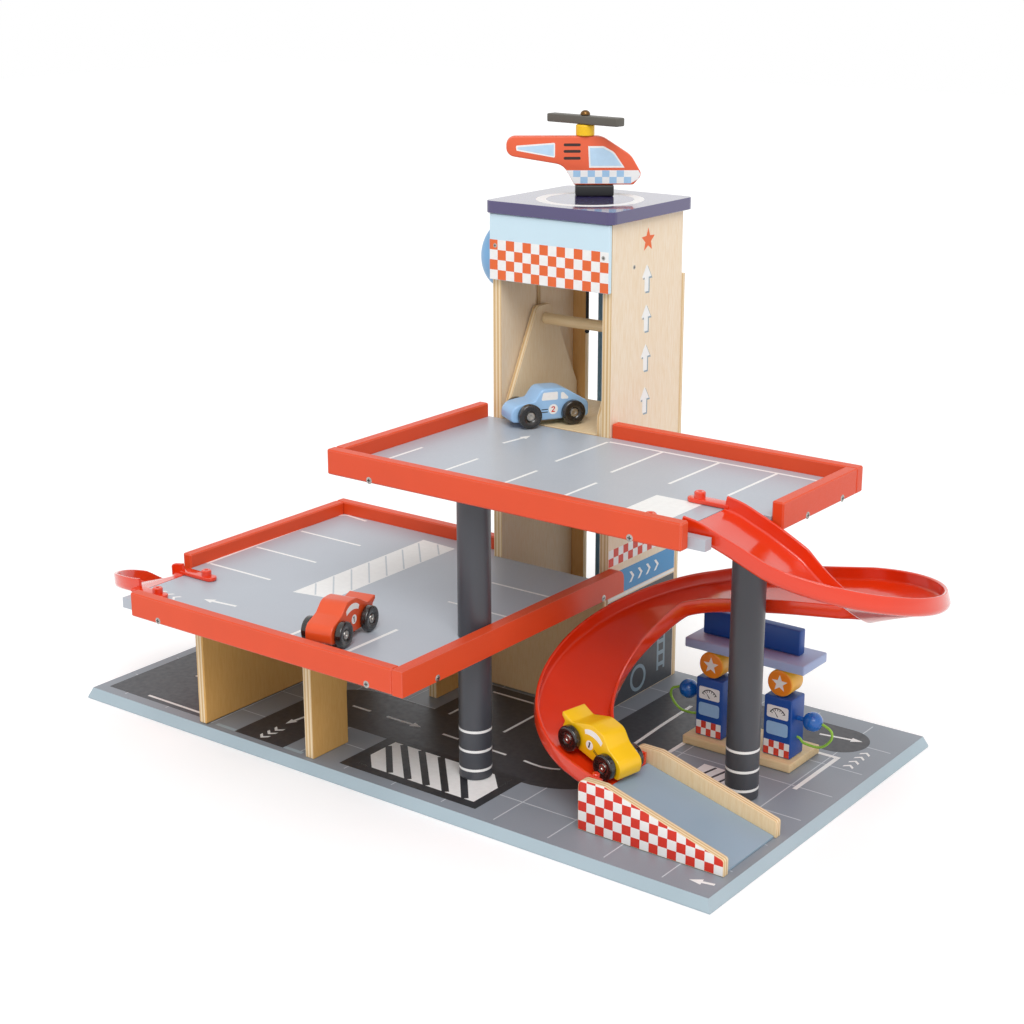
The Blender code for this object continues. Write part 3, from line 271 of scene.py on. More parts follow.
def moved(bm, matrix):
    bmesh.ops.transform(bm, matrix=matrix, verts=bm.verts)
    return bm


def joined(*shapes):
    """One shape from several."""
    first = shapes[0]
    for other in shapes[1:]:
        mesh = bpy.data.meshes.new("join")
        other.to_mesh(mesh)
        other.free()
        first.from_mesh(mesh)
        bpy.data.meshes.remove(mesh)
    return first


SHIFT = Matrix.Translation(spot(0, 0, 0))
AXES = {"Z": Matrix.Identity(4), "X": Matrix.Rotation(math.pi / 2, 4, "Y"),
        "Y": Matrix.Rotation(-math.pi / 2, 4, "X")}


def at(x, y, z, axis="Z"):
    """Matrix that puts a shape made about Z at a place in millimetres, along an axis."""
    return Matrix.Translation(spot(x, y, z)) @ AXES[axis]


# Planes for drawing: (u, v) in millimetres, with Z out of the surface
FLAT = SHIFT
FRONT = SHIFT @ Matrix.Rotation(math.pi / 2, 4, "X")        # u = x, v = z, facing -Y
RIGHT = SHIFT @ Matrix.Rotation(math.pi / 2, 4, "Z") @ Matrix.Rotation(math.pi / 2, 4, "X")


def ribbon(points, width):
    """Outline of a line of even width through points."""
    points = [Vector(p) for p in points]
    left, right = [], []
    for i, p in enumerate(points):
        ahead = (points[min(i + 1, len(points) - 1)] - points[max(i - 1, 0)]).normalized()
        side = Vector((-ahead.y, ahead.x)) * width / 2
        left.append(p + side)
        right.append(p - side)
    return left + right[::-1]


INK_SLOTS = {}      # the slot of each printing ink, by its material's name


def ink(name, shapes, plane, level, material, body="station", slot=None, thick=0.04):
    """Printed layer: closed outlines on a plane, a few hundredths of a millimetre thick."""
    slot = slot or INK_SLOTS[material.name]
    bm = bmesh.new()
    for shape in shapes:
        add_outline(bm, shape, level, level + thick)
    return made(name, moved(bm, plane), material, body, sharp=20)


print("tools ready")

# %% [markdown]
# ## Tools for finishes
# Each finish is a node tree on Object coordinates, so its grain and specks keep their real size
# in millimetres on every piece.

# %%
def specks(tree, where, size, detail=3.0, stretch=(1, 1, 1), shift=0.0):
    """Noise whose lumps are about size millimetres across, longer along a stretched axis."""
    spread = add(tree, "Mapping", {"Vector": where, "Location": (shift, shift, shift),
                                   "Scale": [1 / (size * s * MM) for s in stretch]})
    return add(tree, "TexNoise", {"Vector": spread, "Scale": 1.0, "Detail": detail})


def begin(name, rough=0.5, metallic=0.0, coat=0.0):
    """New material: its tree, its shader and the piece's own coordinates."""
    mat = bpy.data.materials.new(name)
    mat.use_nodes = True
    tree = mat.node_tree
    shader = tree.nodes["Principled BSDF"]
    shader.inputs["Roughness"].default_value = rough
    shader.inputs["Metallic"].default_value = metallic
    shader.inputs["Coat Weight"].default_value = coat
    where = add(tree, "TexCoord", output="Object")
    return mat, tree, shader, where


def toned(tree, value, start, end, one, two):
    """Colour that turns from one to two while a value runs from start to end."""
    share = add(tree, "MapRange", {0: value, 1: start, 2: end})
    return add(tree, "Mix", {0: share, 6: one, 7: two}, 2, data_type="RGBA")


def give(tree, shader, colour, rough=None, height=None, depth=0.02, corner=0.0):
    """Links colour, roughness and bump.

    rough is a noise and the roughness where it is low and high, and may add the noise's own
    low and high. corner rounds sharp edges by that many millimetres.
    """
    tree.links.new(colour, shader.inputs["Base Color"])
    if rough is not None:
        noise, low, high, start, end = (*rough, 0.3, 0.7)[:5]
        rough = add(tree, "MapRange", {0: noise, 1: start, 2: end, 3: low, 4: high})
        tree.links.new(rough, shader.inputs["Roughness"])
    normal = None
    if corner:
        normal = add(tree, "Bevel", {"Radius": corner * MM}, output="Normal", samples=4)
    if height is not None:
        bump = {"Height": height, "Distance": depth * MM, "Strength": 0.6}
        if normal is not None:
            bump["Normal"] = normal
        normal = add(tree, "Bump", bump)
    if normal is not None:
        tree.links.new(normal, shader.inputs["Normal"])


def facing(tree, axis):
    """How far a face looks along an axis: the true normal's share of it, -1 to 1."""
    normal = add(tree, "NewGeometry", output="True Normal")
    return add(tree, "SeparateXYZ", {0: normal}, axis)


def shaded(colour, *shares):
    """Linear colour with its red, green and blue scaled, each or all alike."""
    return [v * share for v, share in zip(colour, shares if len(shares) == 3 else shares * 3)] + [1]


def worn_edge(tree, corner):
    """1 on edges and corners, 0 on flats: how far the rounded normal leans from the true one."""
    soft = add(tree, "Bevel", {"Radius": corner * MM}, output="Normal", samples=4)
    true = add(tree, "NewGeometry", output="True Normal")
    lean = add(tree, "VectorMath", {0: soft, 1: true}, output="Value", operation="DOT_PRODUCT")
    return add(tree, "MapRange", {0: lean, 1: 0.985, 2: 0.86})


print("finish tools ready")

# %% [markdown]
# ### Painted wood
# Rails, decks, roof and toys are sprayed with two coats of satin paint over sanded wood. The
# grain stays faintly readable, the spray leaves a fine orange peel, and the coat is thinner and
# lighter along the edges that were sanded back.

# %%
ALONG_X, ROUND_Z = (14, 1, 1), (14, 14, 1)      # how a board's and a dowel's fibres run


def painted(name, code, rough=0.42, corner=0.6, edge_light=0.22, grain=0.35, coat=0.0,
            spread=0.02, fibres=ALONG_X):
    """Sprayed paint; corner is the rubbed edge's radius and spread how much its tone varies."""
    mat, tree, shader, where = begin(name, rough, coat=coat)
    cloud = specks(tree, where, 30, 2)
    fine = specks(tree, where, 1.1, 2, shift=3.0)
    fibre = specks(tree, where, 1.3, 4, fibres, 7.0)
    base = linear(code)
    colour = toned(tree, cloud, 0.35, 0.65, shaded(base, 1 - spread), shaded(base, 1 + spread))
    rubbed = [v + (0.9 - v) * edge_light for v in base[:3]] + [1]
    worn = add(tree, "Math", {0: worn_edge(tree, corner), 1: 0.75}, operation="MULTIPLY")
    colour = add(tree, "Mix", {0: worn, 6: colour, 7: rubbed}, 2, data_type="RGBA")
    fibre = add(tree, "Math", {0: fibre, 1: grain}, operation="MULTIPLY")
    height = add(tree, "Math", {0: fibre, 1: fine}, operation="ADD")
    give(tree, shader, colour, (fine, rough - 0.05, rough + 0.07), height, 0.03, corner)
    return mat


PAINTS = {
    "rail_paint": painted("satin_orange_red_paint_on_wood", "DE4819"),
    "deck_paint": painted("satin_light_grey_paint_on_board", "B3BAC3", 0.34, 0.3, 0.1, 0.1,
                          spread=0.008),
    "roof_paint": painted("gloss_dark_violet_paint_on_wood", "42386C", 0.13, 0.3, 0.05, 0.1, 0.8),
    "ramp_paint": painted("satin_blue_grey_paint_on_board", "92A8B9", 0.38, 0.3, 0.1, 0.15,
                          spread=0.008),
    "knob_paint": painted("satin_sky_blue_paint_on_turned_wood", "7FB2DE", 0.36),
    "ladder_paint": painted("satin_blue_paint_on_plywood", "6C9ABD", 0.45),
    "pump_paint": painted("satin_royal_blue_paint_on_wood", "0D4A9E", 0.36),
    "canopy_paint": painted("satin_lavender_paint_on_wood", "A8BAE2", 0.4),
    "ball_paint": painted("gloss_blue_paint_on_turned_ball", "1667BE", 0.22, 0.2, 0.1, 0.1, 0.4),
    "heli_paint": painted("satin_coral_paint_on_wood", "E7613A", 0.42),
    "mast_paint": painted("satin_yellow_paint_on_turned_wood", "F6C400", 0.4),
    "rotor_paint": painted("satin_brown_grey_paint_on_wood", "5A564E", 0.45),
    "stand_black": painted("satin_black_paint_on_wood", "222222", 0.4, edge_light=0.12),
    "car_blue": painted("satin_pale_blue_paint_on_beech", "9AC3EA", 0.36, coat=0.2),
    "car_red": painted("satin_red_paint_on_beech", "E0501F", 0.36, coat=0.2),
    "car_yellow": painted("satin_yellow_paint_on_beech", "F8C508", 0.36, coat=0.2),
}
print("painted finishes:", len(PAINTS))

# %% [markdown]
# ### Plywood
# Tower, walls and lift are birch plywood: pale faces with a fine straight grain, and edges where
# thin veneers show as light and brown bands, because every second veneer is cut across its grain.

# %%
def plywood(name, axis, low, thick, veneers, tone):
    """axis is the board's thickness (0, 1 or 2) and low where it starts, in metres."""
    mat, tree, shader, where = begin(name, 0.55)
    along = (1.0, 9.0, 1.0) if axis == 2 else (1.0, 1.0, 9.0)
    grain = specks(tree, where, 1.1, 5, along)
    cloud = specks(tree, where, 45, 2, along, 5.0)
    pale = linear(tone)
    warm = shaded(pale, 0.93, 0.86, 0.74)
    face = toned(tree, grain, 0.35, 0.75, pale, warm)
    cloud = add(tree, "MapRange", {0: cloud, 1: 0.4, 2: 0.7})
    faint = add(tree, "Math", {0: cloud, 1: 0.35}, operation="MULTIPLY")
    face = add(tree, "Mix", {0: faint, 6: face, 7: warm}, 2, data_type="RGBA")
    place = add(tree, "SeparateXYZ", {0: where}, axis)
    depth = add(tree, "Math", {0: place, 1: low}, operation="SUBTRACT")
    depth = add(tree, "Math", {0: depth, 1: veneers / thick}, operation="MULTIPLY")
    wobble = add(tree, "Math", {0: specks(tree, where, 6, 2, shift=2.0), 1: 0.12},
                 operation="MULTIPLY")
    depth = add(tree, "Math", {0: depth, 1: wobble}, operation="ADD")
    odd = add(tree, "Math", {0: depth, 1: 1.0}, operation="PINGPONG")
    band = add(tree, "MapRange", {0: odd, 1: 0.4, 2: 0.6})
    end_grain = specks(tree, where, 0.35, 2, shift=9.0)
    brown = add(tree, "Mix", {0: end_grain, 6: linear("CFA873"), 7: linear("DDBC8A")}, 2,
                data_type="RGBA")
    light = add(tree, "Mix", {0: end_grain, 6: linear("EAD2A8"), 7: linear("F3E0BF")}, 2,
                data_type="RGBA")
    edge = add(tree, "Mix", {0: band, 6: light, 7: brown}, 2, data_type="RGBA")
    flat = add(tree, "Math", {0: facing(tree, axis)}, operation="ABSOLUTE")
    colour = toned(tree, flat, 0.5, 0.6, edge, face)
    raised = add(tree, "Math", {0: band, 1: 0.4}, operation="MULTIPLY")
    height = add(tree, "Math", {0: grain, 1: raised}, operation="ADD")
    give(tree, shader, colour, (grain, 0.5, 0.64), height, 0.04, 0.3)
    return mat


PLY = {}
for node, axis, veneers, tone in (
        ("support_wall_left", 0, 5, "E6B56A"), ("support_wall_arch", 0, 5, "E6B56A"),
        ("tower_front_panel", 1, 3, "E3C294"), ("tower_back_panel", 1, 3, "E5B97C"),
        ("tower_side_left", 0, 5, "F1E1CB"), ("tower_side_right", 0, 5, "F1E1CB"),
        ("lift_floor", 2, 3, "E9D3AE"), ("lift_side_left", 0, 3, "EDDBBE"),
        ("lift_side_right", 0, 3, "EDDBBE"), ("ramp_side_front", 1, 5, "EBD3AC"),
        ("ramp_side_rear", 1, 5, "EBD3AC")):
    low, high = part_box(node)
    PLY[node] = plywood("birch_plywood_" + node, axis, low[axis], high[axis] - low[axis], veneers,
                        tone)
print("plywood finishes:", len(PLY))

# %% [markdown]
# ### Solid wood, plastic, metal, cord and ink
# The pump island and the dowel are solid birch. The slides are glossy moulded plastic. Wheels are
# turned wood dipped in black lacquer on steel pins. Markings are printed in matt ink.

# %%
def solid_wood(name, tone):
    """Oiled birch whose grain runs along X."""
    mat, tree, shader, where = begin(name, 0.52)
    stretch = (16, 1, 1)
    grain = specks(tree, where, 1.0, 5, stretch)
    rings = specks(tree, where, 5.0, 2, stretch, 4.0)
    pale = linear(tone)
    fine = add(tree, "MapRange", {0: grain, 1: 0.35, 2: 0.75})
    fine = add(tree, "Math", {0: fine, 1: 0.5}, operation="MULTIPLY")
    broad = add(tree, "MapRange", {0: rings, 1: 0.4, 2: 0.7})
    broad = add(tree, "Math", {0: broad, 1: 0.4}, operation="MULTIPLY")
    share = add(tree, "Math", {0: fine, 1: broad}, operation="ADD")
    give(tree, shader, add(tree, "Mix", {0: share, 6: pale, 7: shaded(pale, 0.88, 0.78, 0.62)}, 2,
                           data_type="RGBA"), (grain, 0.46, 0.6), grain, 0.05, 0.3)
    return mat


def moulded(name, code, rough, coat, glow):
    """Glossy plastic: a little flow in its colour, and the mould's faint waviness."""
    mat, tree, shader, where = begin(name, rough, coat=coat)
    shader.inputs["Coat Roughness"].default_value = 0.06
    shader.inputs["Subsurface Weight"].default_value = glow
    shader.inputs["Subsurface Radius"].default_value = (0.004, 0.001, 0.0006)
    flow = specks(tree, where, 40, 3, (3, 1, 1))
    wave = specks(tree, where, 14, 2, shift=5.0)
    fine = specks(tree, where, 0.5, 2, shift=8.0)
    base = linear(code)
    grit = add(tree, "Math", {0: fine, 1: 0.02}, operation="MULTIPLY")
    height = add(tree, "Math", {0: wave, 1: grit}, operation="ADD")
    give(tree, shader, toned(tree, flow, 0.3, 0.7, shaded(base, 0.9), base),
         (fine, rough - 0.03, rough + 0.05), height, 0.25)
    return mat


def metal(name, code, rough):
    """Plated steel or brass: fine scratches and a dull tarnish."""
    mat, tree, shader, where = begin(name, rough, metallic=1.0)
    scratch = specks(tree, where, 0.25, 3, (8, 1, 1))
    tarnish = specks(tree, where, 2.0, 2, shift=2.0)
    base = linear(code)
    give(tree, shader, toned(tree, tarnish, 0.35, 0.7, base, shaded(base, 0.72)),
         (scratch, rough - 0.08, rough + 0.12), scratch, 0.01)
    return mat


def lacquer(name, code, rough):
    """Dipped gloss lacquer: wavy, with a few dull rubbed spots."""
    mat, tree, shader, where = begin(name, rough, coat=0.6)
    wave = specks(tree, where, 2.5, 2)
    rub = specks(tree, where, 0.8, 3, shift=6.0)
    base = linear(code)
    worn = [v + 0.05 for v in base[:3]] + [1]
    give(tree, shader, toned(tree, rub, 0.62, 0.8, base, worn),
         (rub, rough, rough + 0.2, 0.4, 0.8), wave, 0.06)
    return mat


def printed(name, code, slot="sign_paint", rough=0.5, spread=0.04):
    """Screen printed ink: a faint mesh in its surface and small uneven spots."""
    INK_SLOTS[name] = slot
    mat, tree, shader, where = begin(name, rough)
    base = linear(code)
    cloud = specks(tree, where, 4.0, 3)
    weave = add(tree, "TexVoronoi", {"Vector": where, "Scale": 1 / (0.35 * MM)})
    colour = toned(tree, cloud, 0.4, 0.65, shaded(base, 1 - spread), base)
    give(tree, shader, colour, (cloud, rough - 0.06, rough + 0.08), weave, 0.004)
    return mat


BIRCH = solid_wood("solid_birch_oiled", "E8CFA4")
BIRCH_LIGHT = solid_wood("solid_birch_dowel", "E9D2A9")
SLIDE_PLASTIC = moulded("gloss_red_moulded_plastic", "E8380F", 0.15, 0.5, 0.04)
STEEL = metal("zinc_plated_steel", "B9B7B2", 0.32)
HUB = metal("steel_axle_pin", "C6C2BA", 0.25)
BRASS = metal("brown_brass_screw", "7A5A36", 0.3)
BLACK_LACQUER = lacquer("black_dipped_lacquer_on_wood", "1E1B19", 0.18)
WHITE_INK = printed("white_printing_ink", "F4F4F2")
BLACK_INK = printed("black_printing_ink", "17171A", "stand_black", 0.45)
ROAD_INK = printed("charcoal_printing_ink", "3B3C41", "column_paint", 0.4)
print("more finishes ready")

# %% [markdown]
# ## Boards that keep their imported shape
# Flat boards are already right, so they only get their finish. The list pairs each board with
# its paint or its plywood.

# %%
def reach(node):
    """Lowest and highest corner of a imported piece, in millimetres from the board's corner."""
    return [[v / MM + shift for v, shift in zip(corner, (*CORNER, 0))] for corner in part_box(node)]


def measured(node):
    """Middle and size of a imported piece, in millimetres."""
    low, high = reach(node)
    return [(a + b) / 2 for a, b in zip(low, high)], [b - a for a, b in zip(low, high)]


def refinish(node, material):
    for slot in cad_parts[node].material_slots:
        slot.material = material


RAILS = [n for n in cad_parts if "_rail_" in n]
for node in RAILS:
    refinish(node, PAINTS["rail_paint"])
for node, paint in (("lower_deck", "deck_paint"), ("upper_deck", "deck_paint"),
                    ("tower_roof", "roof_paint"), ("ramp_deck", "ramp_paint"),
                    ("tower_ladder", "ladder_paint")):
    refinish(node, PAINTS[paint])
for node, ply in PLY.items():
    refinish(node, ply)
refinish("winch_shaft", BIRCH_LIGHT)
print("rails:", len(RAILS), "plywood boards:", len(PLY))

# %% [markdown]
# ### Base board
# A thick fibreboard, sprayed pale blue grey on its bevelled edge and printed grey on top.

# %%
def base_finish():
    mat, tree, shader, where = begin("pale_blue_grey_edge_and_grey_printed_top", 0.38)
    cloud = specks(tree, where, 60, 3)
    fine = specks(tree, where, 0.9, 2, shift=4.0)
    top = toned(tree, cloud, 0.35, 0.65, linear("8B939C"), linear("8F97A0"))
    edge = toned(tree, cloud, 0.35, 0.65, linear("A5B7C0"), linear("A9BBC4"))
    colour = toned(tree, facing(tree, 2), 0.9, 0.97, edge, top)
    give(tree, shader, colour, (fine, 0.34, 0.46), fine, 0.02, 0.4)
    return mat


refinish("base_board", base_finish())


def cord_finish():
    """Black braided cord: two sets of strands that cross round it."""
    mat, tree, shader, where = begin("black_braided_cord", 0.8)
    strands = {}
    for k, lean in enumerate((0.7, -0.7)):
        turned_to = add(tree, "Mapping", {"Vector": where, "Rotation": (lean, 0, 0)})
        strands[k] = add(tree, "TexWave", {"Vector": turned_to, "Scale": 1 / (1.6 * MM),
                                           "Distortion": 1.5}, "Fac", bands_direction="Z")
    braid = add(tree, "Math", strands, operation="MULTIPLY")
    give(tree, shader, add(tree, "Mix", {0: braid, 6: linear("0E0E0E"), 7: linear("33322F")}, 2,
                           data_type="RGBA"), None, braid, 0.2)
    return mat


refinish("lift_cord", cord_finish())
sign_paint = painted("satin_pale_blue_printed_sign", "CDE6F2", 0.36, 0.3, 0.2, 0.1, spread=0.008)
refinish("tower_sign", sign_paint)
print("base, cord and sign finished")

# %% [markdown]
# ## Columns
# Turned dowels, painted charcoal. Each is one lathe profile with a broken edge top and bottom.
# The two that stand on the base board have three white rings printed near the foot.

# %%
COLUMN_PAINT = painted("satin_charcoal_paint_on_turned_dowel", "44464C", 0.34, 0.4, 0.1, 0.3,
                       fibres=ROUND_Z)
RINGS = {"column_left_lower": (17.0, 32.0, 47.5), "column_right": (17.2, 31.9, 47.3),
         "column_left_upper": ()}
for name, rings in RINGS.items():
    (x, y, z), size = measured(name)
    r, foot, head = size[0] / 2, z - size[2] / 2, z + size[2] / 2
    profile = [(0, foot), (r - 0.6, foot), (r, foot + 0.6), (r, head - 0.6), (r - 0.6, head),
               (0, head)]
    made(name + "_turned", moved(turned(profile), at(x, y, 0)), COLUMN_PAINT, "station",
         (name,))
    for k, z in enumerate(rings):
        band = [(r - 0.3, z - 1.0), (r + 0.04, z - 1.0), (r + 0.04, z + 1.0), (r - 0.3, z + 1.0),
                (r - 0.3, z - 1.0)]
        made(f"{name}_ring_{k + 1}", moved(turned(band), at(x, y, 0)), WHITE_INK, "station")
    print(name, "radius", round(r, 2), "from", round(foot, 1), "to", round(head, 1))

# %% [markdown]
# ## Slides
# A slide is one U-shaped section carried along a path in plan while it falls and leans into its
# turns, as a moulded part would be drawn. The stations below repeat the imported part's own.

# %%
EASE = 0.04     # share of the path over which a change of slope is smoothed


def eased(stations, share):
    """Value at a share of the path between (share, value) stations, smoothed."""
    reach_out = min(EASE, share, 1 - share)
    total = 0.0
    for k in range(9):
        s = share - reach_out + 2 * reach_out * k / 8
        for (s0, v0), (s1, v1) in zip(stations, stations[1:]):
            if s <= s1 or (s1, v1) == stations[-1]:
                total += v0 + (v1 - v0) * max(0.0, min(1.0, (s - s0) / (s1 - s0)))
                break
    return total / 9


def route(start, heading, legs):
    """Plan points from straight legs (length,) and turns (radius, degrees), left turns +."""
    here, angle, points = Vector(start), heading, [Vector(start)]
    for leg in legs:
        if len(leg) == 1:
            count = max(2, round(leg[0] / 4))
            for _ in range(count):
                here = here + Vector((math.cos(angle), math.sin(angle))) * leg[0] / count
                points.append(here.copy())
            continue
        radius, degrees = leg
        side = math.copysign(1, degrees)
        centre = here + Vector((-math.sin(angle), math.cos(angle))) * radius * side
        for _ in range(round(abs(degrees) / 3)):
            angle += math.radians(math.copysign(3, degrees))
            here = centre - Vector((-math.sin(angle), math.cos(angle))) * radius * side
            points.append(here.copy())
    return points


def channel(half, points, top, foot, drops, banks):
    """U-shaped slide whose underside follows the path."""
    wall, rim, corner = 2.5, 12.0, 4.0
    inner = half - wall
    section = rounded([(-half, rim, 0.9), (-half, 0, corner), (half, 0, corner), (half, rim, 0.9),
                       (inner, rim, 0.9), (inner, wall, corner / 2), (-inner, wall, corner / 2),
                       (-inner, rim, 0.9)], 5)
    run = [0.0]
    for before, after in zip(points, points[1:]):
        run.append(run[-1] + (after - before).length)
    spine = [Vector((p.x, p.y, top + (foot - top) * eased(drops, s / run[-1])))
             for p, s in zip(points, run)]
    bm = bmesh.new()
    rings = []
    for i, centre in enumerate(spine):
        ahead = (spine[min(i + 1, len(spine) - 1)] - spine[max(i - 1, 0)]).normalized()
        lean = math.radians(eased(banks, run[i] / run[-1]))
        side = ahead.cross(Vector((0, 0, 1))).normalized()
        up = side.cross(ahead)
        out = side * math.cos(lean) + up * math.sin(lean)
        rise = up * math.cos(lean) - side * math.sin(lean)
        rings.append([bm.verts.new((centre + out * p.x + rise * p.y) * MM) for p in section])
    for one, two in zip(rings, rings[1:]):
        for k in range(len(section)):
            n = (k + 1) % len(section)
            bm.faces.new((one[k], one[n], two[n], two[k]))
    bm.faces.new(rings[0])
    bm.faces.new(rings[-1][::-1])
    return bm


def lug(tail, root, y, seat, boss_x):
    """Flat ear over the deck with a hollow boss."""
    half, height = 5, 7.7
    ear = [(tail, y - half, 4.9), (root, y - half), (root, y + half), (tail, y + half, 4.9)]
    if tail > root:
        ear = [ear[1], ear[0], ear[3], ear[2]]
    ear = plate(rounded(ear, 8), seat, seat + 3, 0.7, 3)
    top = seat + height
    boss = [(0, seat + 2), (4, seat + 2), (4, top - 0.8), (3.2, top), (1.6, top), (1.2, top - 0.4),
            (1.2, top - 3), (0, top - 3)]
    boss = moved(turned(boss, 32), Matrix.Translation((boss_x * MM, y * MM, 0)))
    return joined(ear, boss)


UPPER_TOP, LOWER_TOP = reach("upper_deck")[1][2], reach("lower_deck")[1][2]
UNDER_DECK = 2.5        # how far a slide's floor starts below the deck's top
SLIDE_X, SLIDE_Y, FIRST_RUN, LAST_TURN = 538.3, 80, 59.5, 62.4
RAMP_X, RAMP_MIDDLE = 472.5, 71.2       # where the slide meets the ramp
drops = ((0, 0), (.03, .015), (.093, .10), (.163, .19), (.273, .31), (.394, .37), (.523, .43),
         (.633, .50), (.752, .69), (.84, .85), (.916, .94), (.972, .995), (1, 1))
banks = ((0, 0), (.08, 2), (.182, 13), (.273, 18), (.385, 14), (.502, 10), (.622, 9), (.722, 13),
         (.82, 14), (.93, 6), (.97, 0), (1, 0))
legs = [(FIRST_RUN,), (58, 180), (SLIDE_X + FIRST_RUN - RAMP_X,), (LAST_TURN, 180), (12,)]
slide = channel(29, route((SLIDE_X, SLIDE_Y), 0, legs), UPPER_TOP - UNDER_DECK, 34.8, drops, banks)
for side in (-1, 1):
    slide = joined(slide, lug(SLIDE_X - 30.5, SLIDE_X + 3.5, SLIDE_Y + side * 30.75,
                              UPPER_TOP + 0.3, SLIDE_X - 21.5))
    peg = turned([(0, 36), (3, 36), (3, 47), (2.2, 47.8), (0, 47.8)], 24)
    place = Matrix.Translation(((RAMP_X + 4.7) * MM, (RAMP_MIDDLE + side * 23.5) * MM, 0))
    slide = joined(slide, moved(peg, place))
slide = made("main_slide_moulded", moved(slide, SHIFT), SLIDE_PLASTIC, "station",
             ("main_slide",))

# %%
CHUTE_X, CHUTE_Y = 93.7, 6
path = route((CHUTE_X, CHUTE_Y), math.pi, [(8,), (35, -90), (144,)])
chute = channel(24, path, LOWER_TOP - UNDER_DECK, 9.3,
                ((0, 0), (.1, .03), (.28, .18), (.9, .98), (1, 1)), ((0, 0), (1, 0)))
for side in (-1, 1):
    chute = joined(chute, lug(CHUTE_X + 30.5, CHUTE_X - 3.5, CHUTE_Y + side * 25.75,
                              LOWER_TOP + 0.3, CHUTE_X + 21.5))
made("exit_chute_moulded", moved(chute, SHIFT), SLIDE_PLASTIC, "station",
     ("exit_chute",))
print("chute made")

# %% [markdown]
# ## Ramp
# Two plywood plates cut to one outline hold the sloping deck. The front plate carries red and
# white printed squares on its outer face, which stop at the sawn edge.

# %%
def ramp_front():
    """The front plate's plywood, with the print only where its face looks forward."""
    mat = plywood("birch_plywood_printed_ramp_front", 1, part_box("ramp_side_front")[0].y, 0.0065, 5,
                  "EBD3AC")
    tree = mat.node_tree
    shader = tree.nodes["Principled BSDF"]
    wood = shader.inputs["Base Color"].links[0].from_socket
    where = add(tree, "TexCoord", output="Object")
    start, per_square = spot(RAMP_X, 0, 9.3), 1 / (7.34 * MM)
    cells = {}
    for k, axis in enumerate((0, 2)):
        place = add(tree, "SeparateXYZ", {0: where}, axis)
        past = add(tree, "Math", {0: place, 1: start[axis]}, operation="SUBTRACT")
        count = add(tree, "Math", {0: past, 1: per_square}, operation="MULTIPLY")
        cells[k] = add(tree, "Math", {0: count}, operation="FLOOR")
    both = add(tree, "Math", cells, operation="ADD")
    odd = add(tree, "Math", {0: both, 1: 2.0}, operation="MODULO")
    odd = add(tree, "Math", {0: odd}, operation="ABSOLUTE")
    squares = add(tree, "Mix", {0: odd, 6: linear("D9301C"), 7: linear("F3F1EE")}, 2,
                  data_type="RGBA")
    colour = toned(tree, facing(tree, 1), -0.95, -0.99, wood, squares)
    tree.links.new(colour, shader.inputs["Base Color"])
    return mat


SIDE = Matrix.Rotation(math.pi / 2, 4, "X")     # drawing plane upright, facing -Y
low, high = reach("ramp_side_front")
outline = rounded([(low[0], low[2]), (high[0], low[2]), (high[0], 21.5, 2.5), (494.5, 48, 8),
                   (low[0], 48, 6)], 8)
for name, finish in (("ramp_side_front", ramp_front()), ("ramp_side_rear", PLY["ramp_side_rear"])):
    low, high = reach(name)
    shape = moved(plate(outline, -high[1], -low[1], 0.5), SIDE)
    made(name + "_sawn", moved(shape, SHIFT), finish, "station", (name,))
    print(name, "thickness", round(high[1] - low[1], 2))

# %% [markdown]
# ## Lift
# The cage is a floor between two side plates that taper to a round-cornered head. A turned dowel
# joins the heads, its ends run in the tower's grooves, and the cord ends in a knot under it.

# %%
low, high = reach("lift_side_left")
(dowel_x, middle, dowel_z), dowel_size = measured("lift_dowel")
outline = rounded([(low[1], low[2]), (high[1], low[2]), (high[1], low[2] + 20),
                   (middle + 9.5, high[2], 6.3), (middle - 9.5, high[2], 6.3),
                   (low[1], low[2] + 20)], 8)
for name in ("lift_side_left", "lift_side_right"):
    low, high = reach(name)
    made(name + "_sawn", moved(plate(outline, low[0], high[0], 0.6), RIGHT), PLY[name], "lift",
         (name,))

half = dowel_size[0] / 2
r, neck = 4.5, half - 9.3       # the neck runs in the tower's groove and the side plate
profile = [(0, half), (2.0, half), (2.5, half - 0.5), (2.5, neck), (r - 0.5, neck), (r, neck - 0.5)]
profile += [(a, -b) for a, b in profile[::-1]]
made("lift_dowel_turned", moved(turned(profile, 40), at(dowel_x, middle, dowel_z, "X")),
     BIRCH_LIGHT, "lift", ("lift_dowel",))
knot = turned([(0, 1.7), (1.0, 1.5), (1.7, 0.7), (1.8, 0), (1.7, -0.7), (1.0, -1.5), (0, -1.7)], 24)
made("lift_cord_knot", moved(knot, at(dowel_x, middle, dowel_z - dowel_size[2] / 2 - 1.2)),
     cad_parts["lift_cord"].material_slots[0].material, "lift")
print("lift made, dowel half length", round(half, 2))

# %% [markdown]
# ## Winding knob
# A turned wooden knob with a domed face and a rounded rim.

# %%
low, high = reach("winch_knob")
(_, y, z), size = measured("winch_knob")
radius, face, crown = size[2] / 2, high[0], low[0]
rim, dome = face - 9, 18
profile = [(0, rim), (4.3, rim), (4.3, face), (radius - 1.4, face)]
profile += arc(radius - 1.4, face - 1.4, 1.4, 90, 0, 5)
profile += [(radius * math.cos(math.radians(t)), rim - dome * math.sin(math.radians(t)))
            for t in range(0, 86, 5)]
profile.append((0, crown))
profile = [(r, -x) for r, x in profile]
knob = moved(turned(profile, 72), at(0, y, z) @ Matrix.Rotation(-math.pi / 2, 4, "Y"))
made("winch_knob_turned", knob, PAINTS["knob_paint"], "winch", ("winch_knob",))
print("knob radius", round(radius, 1))

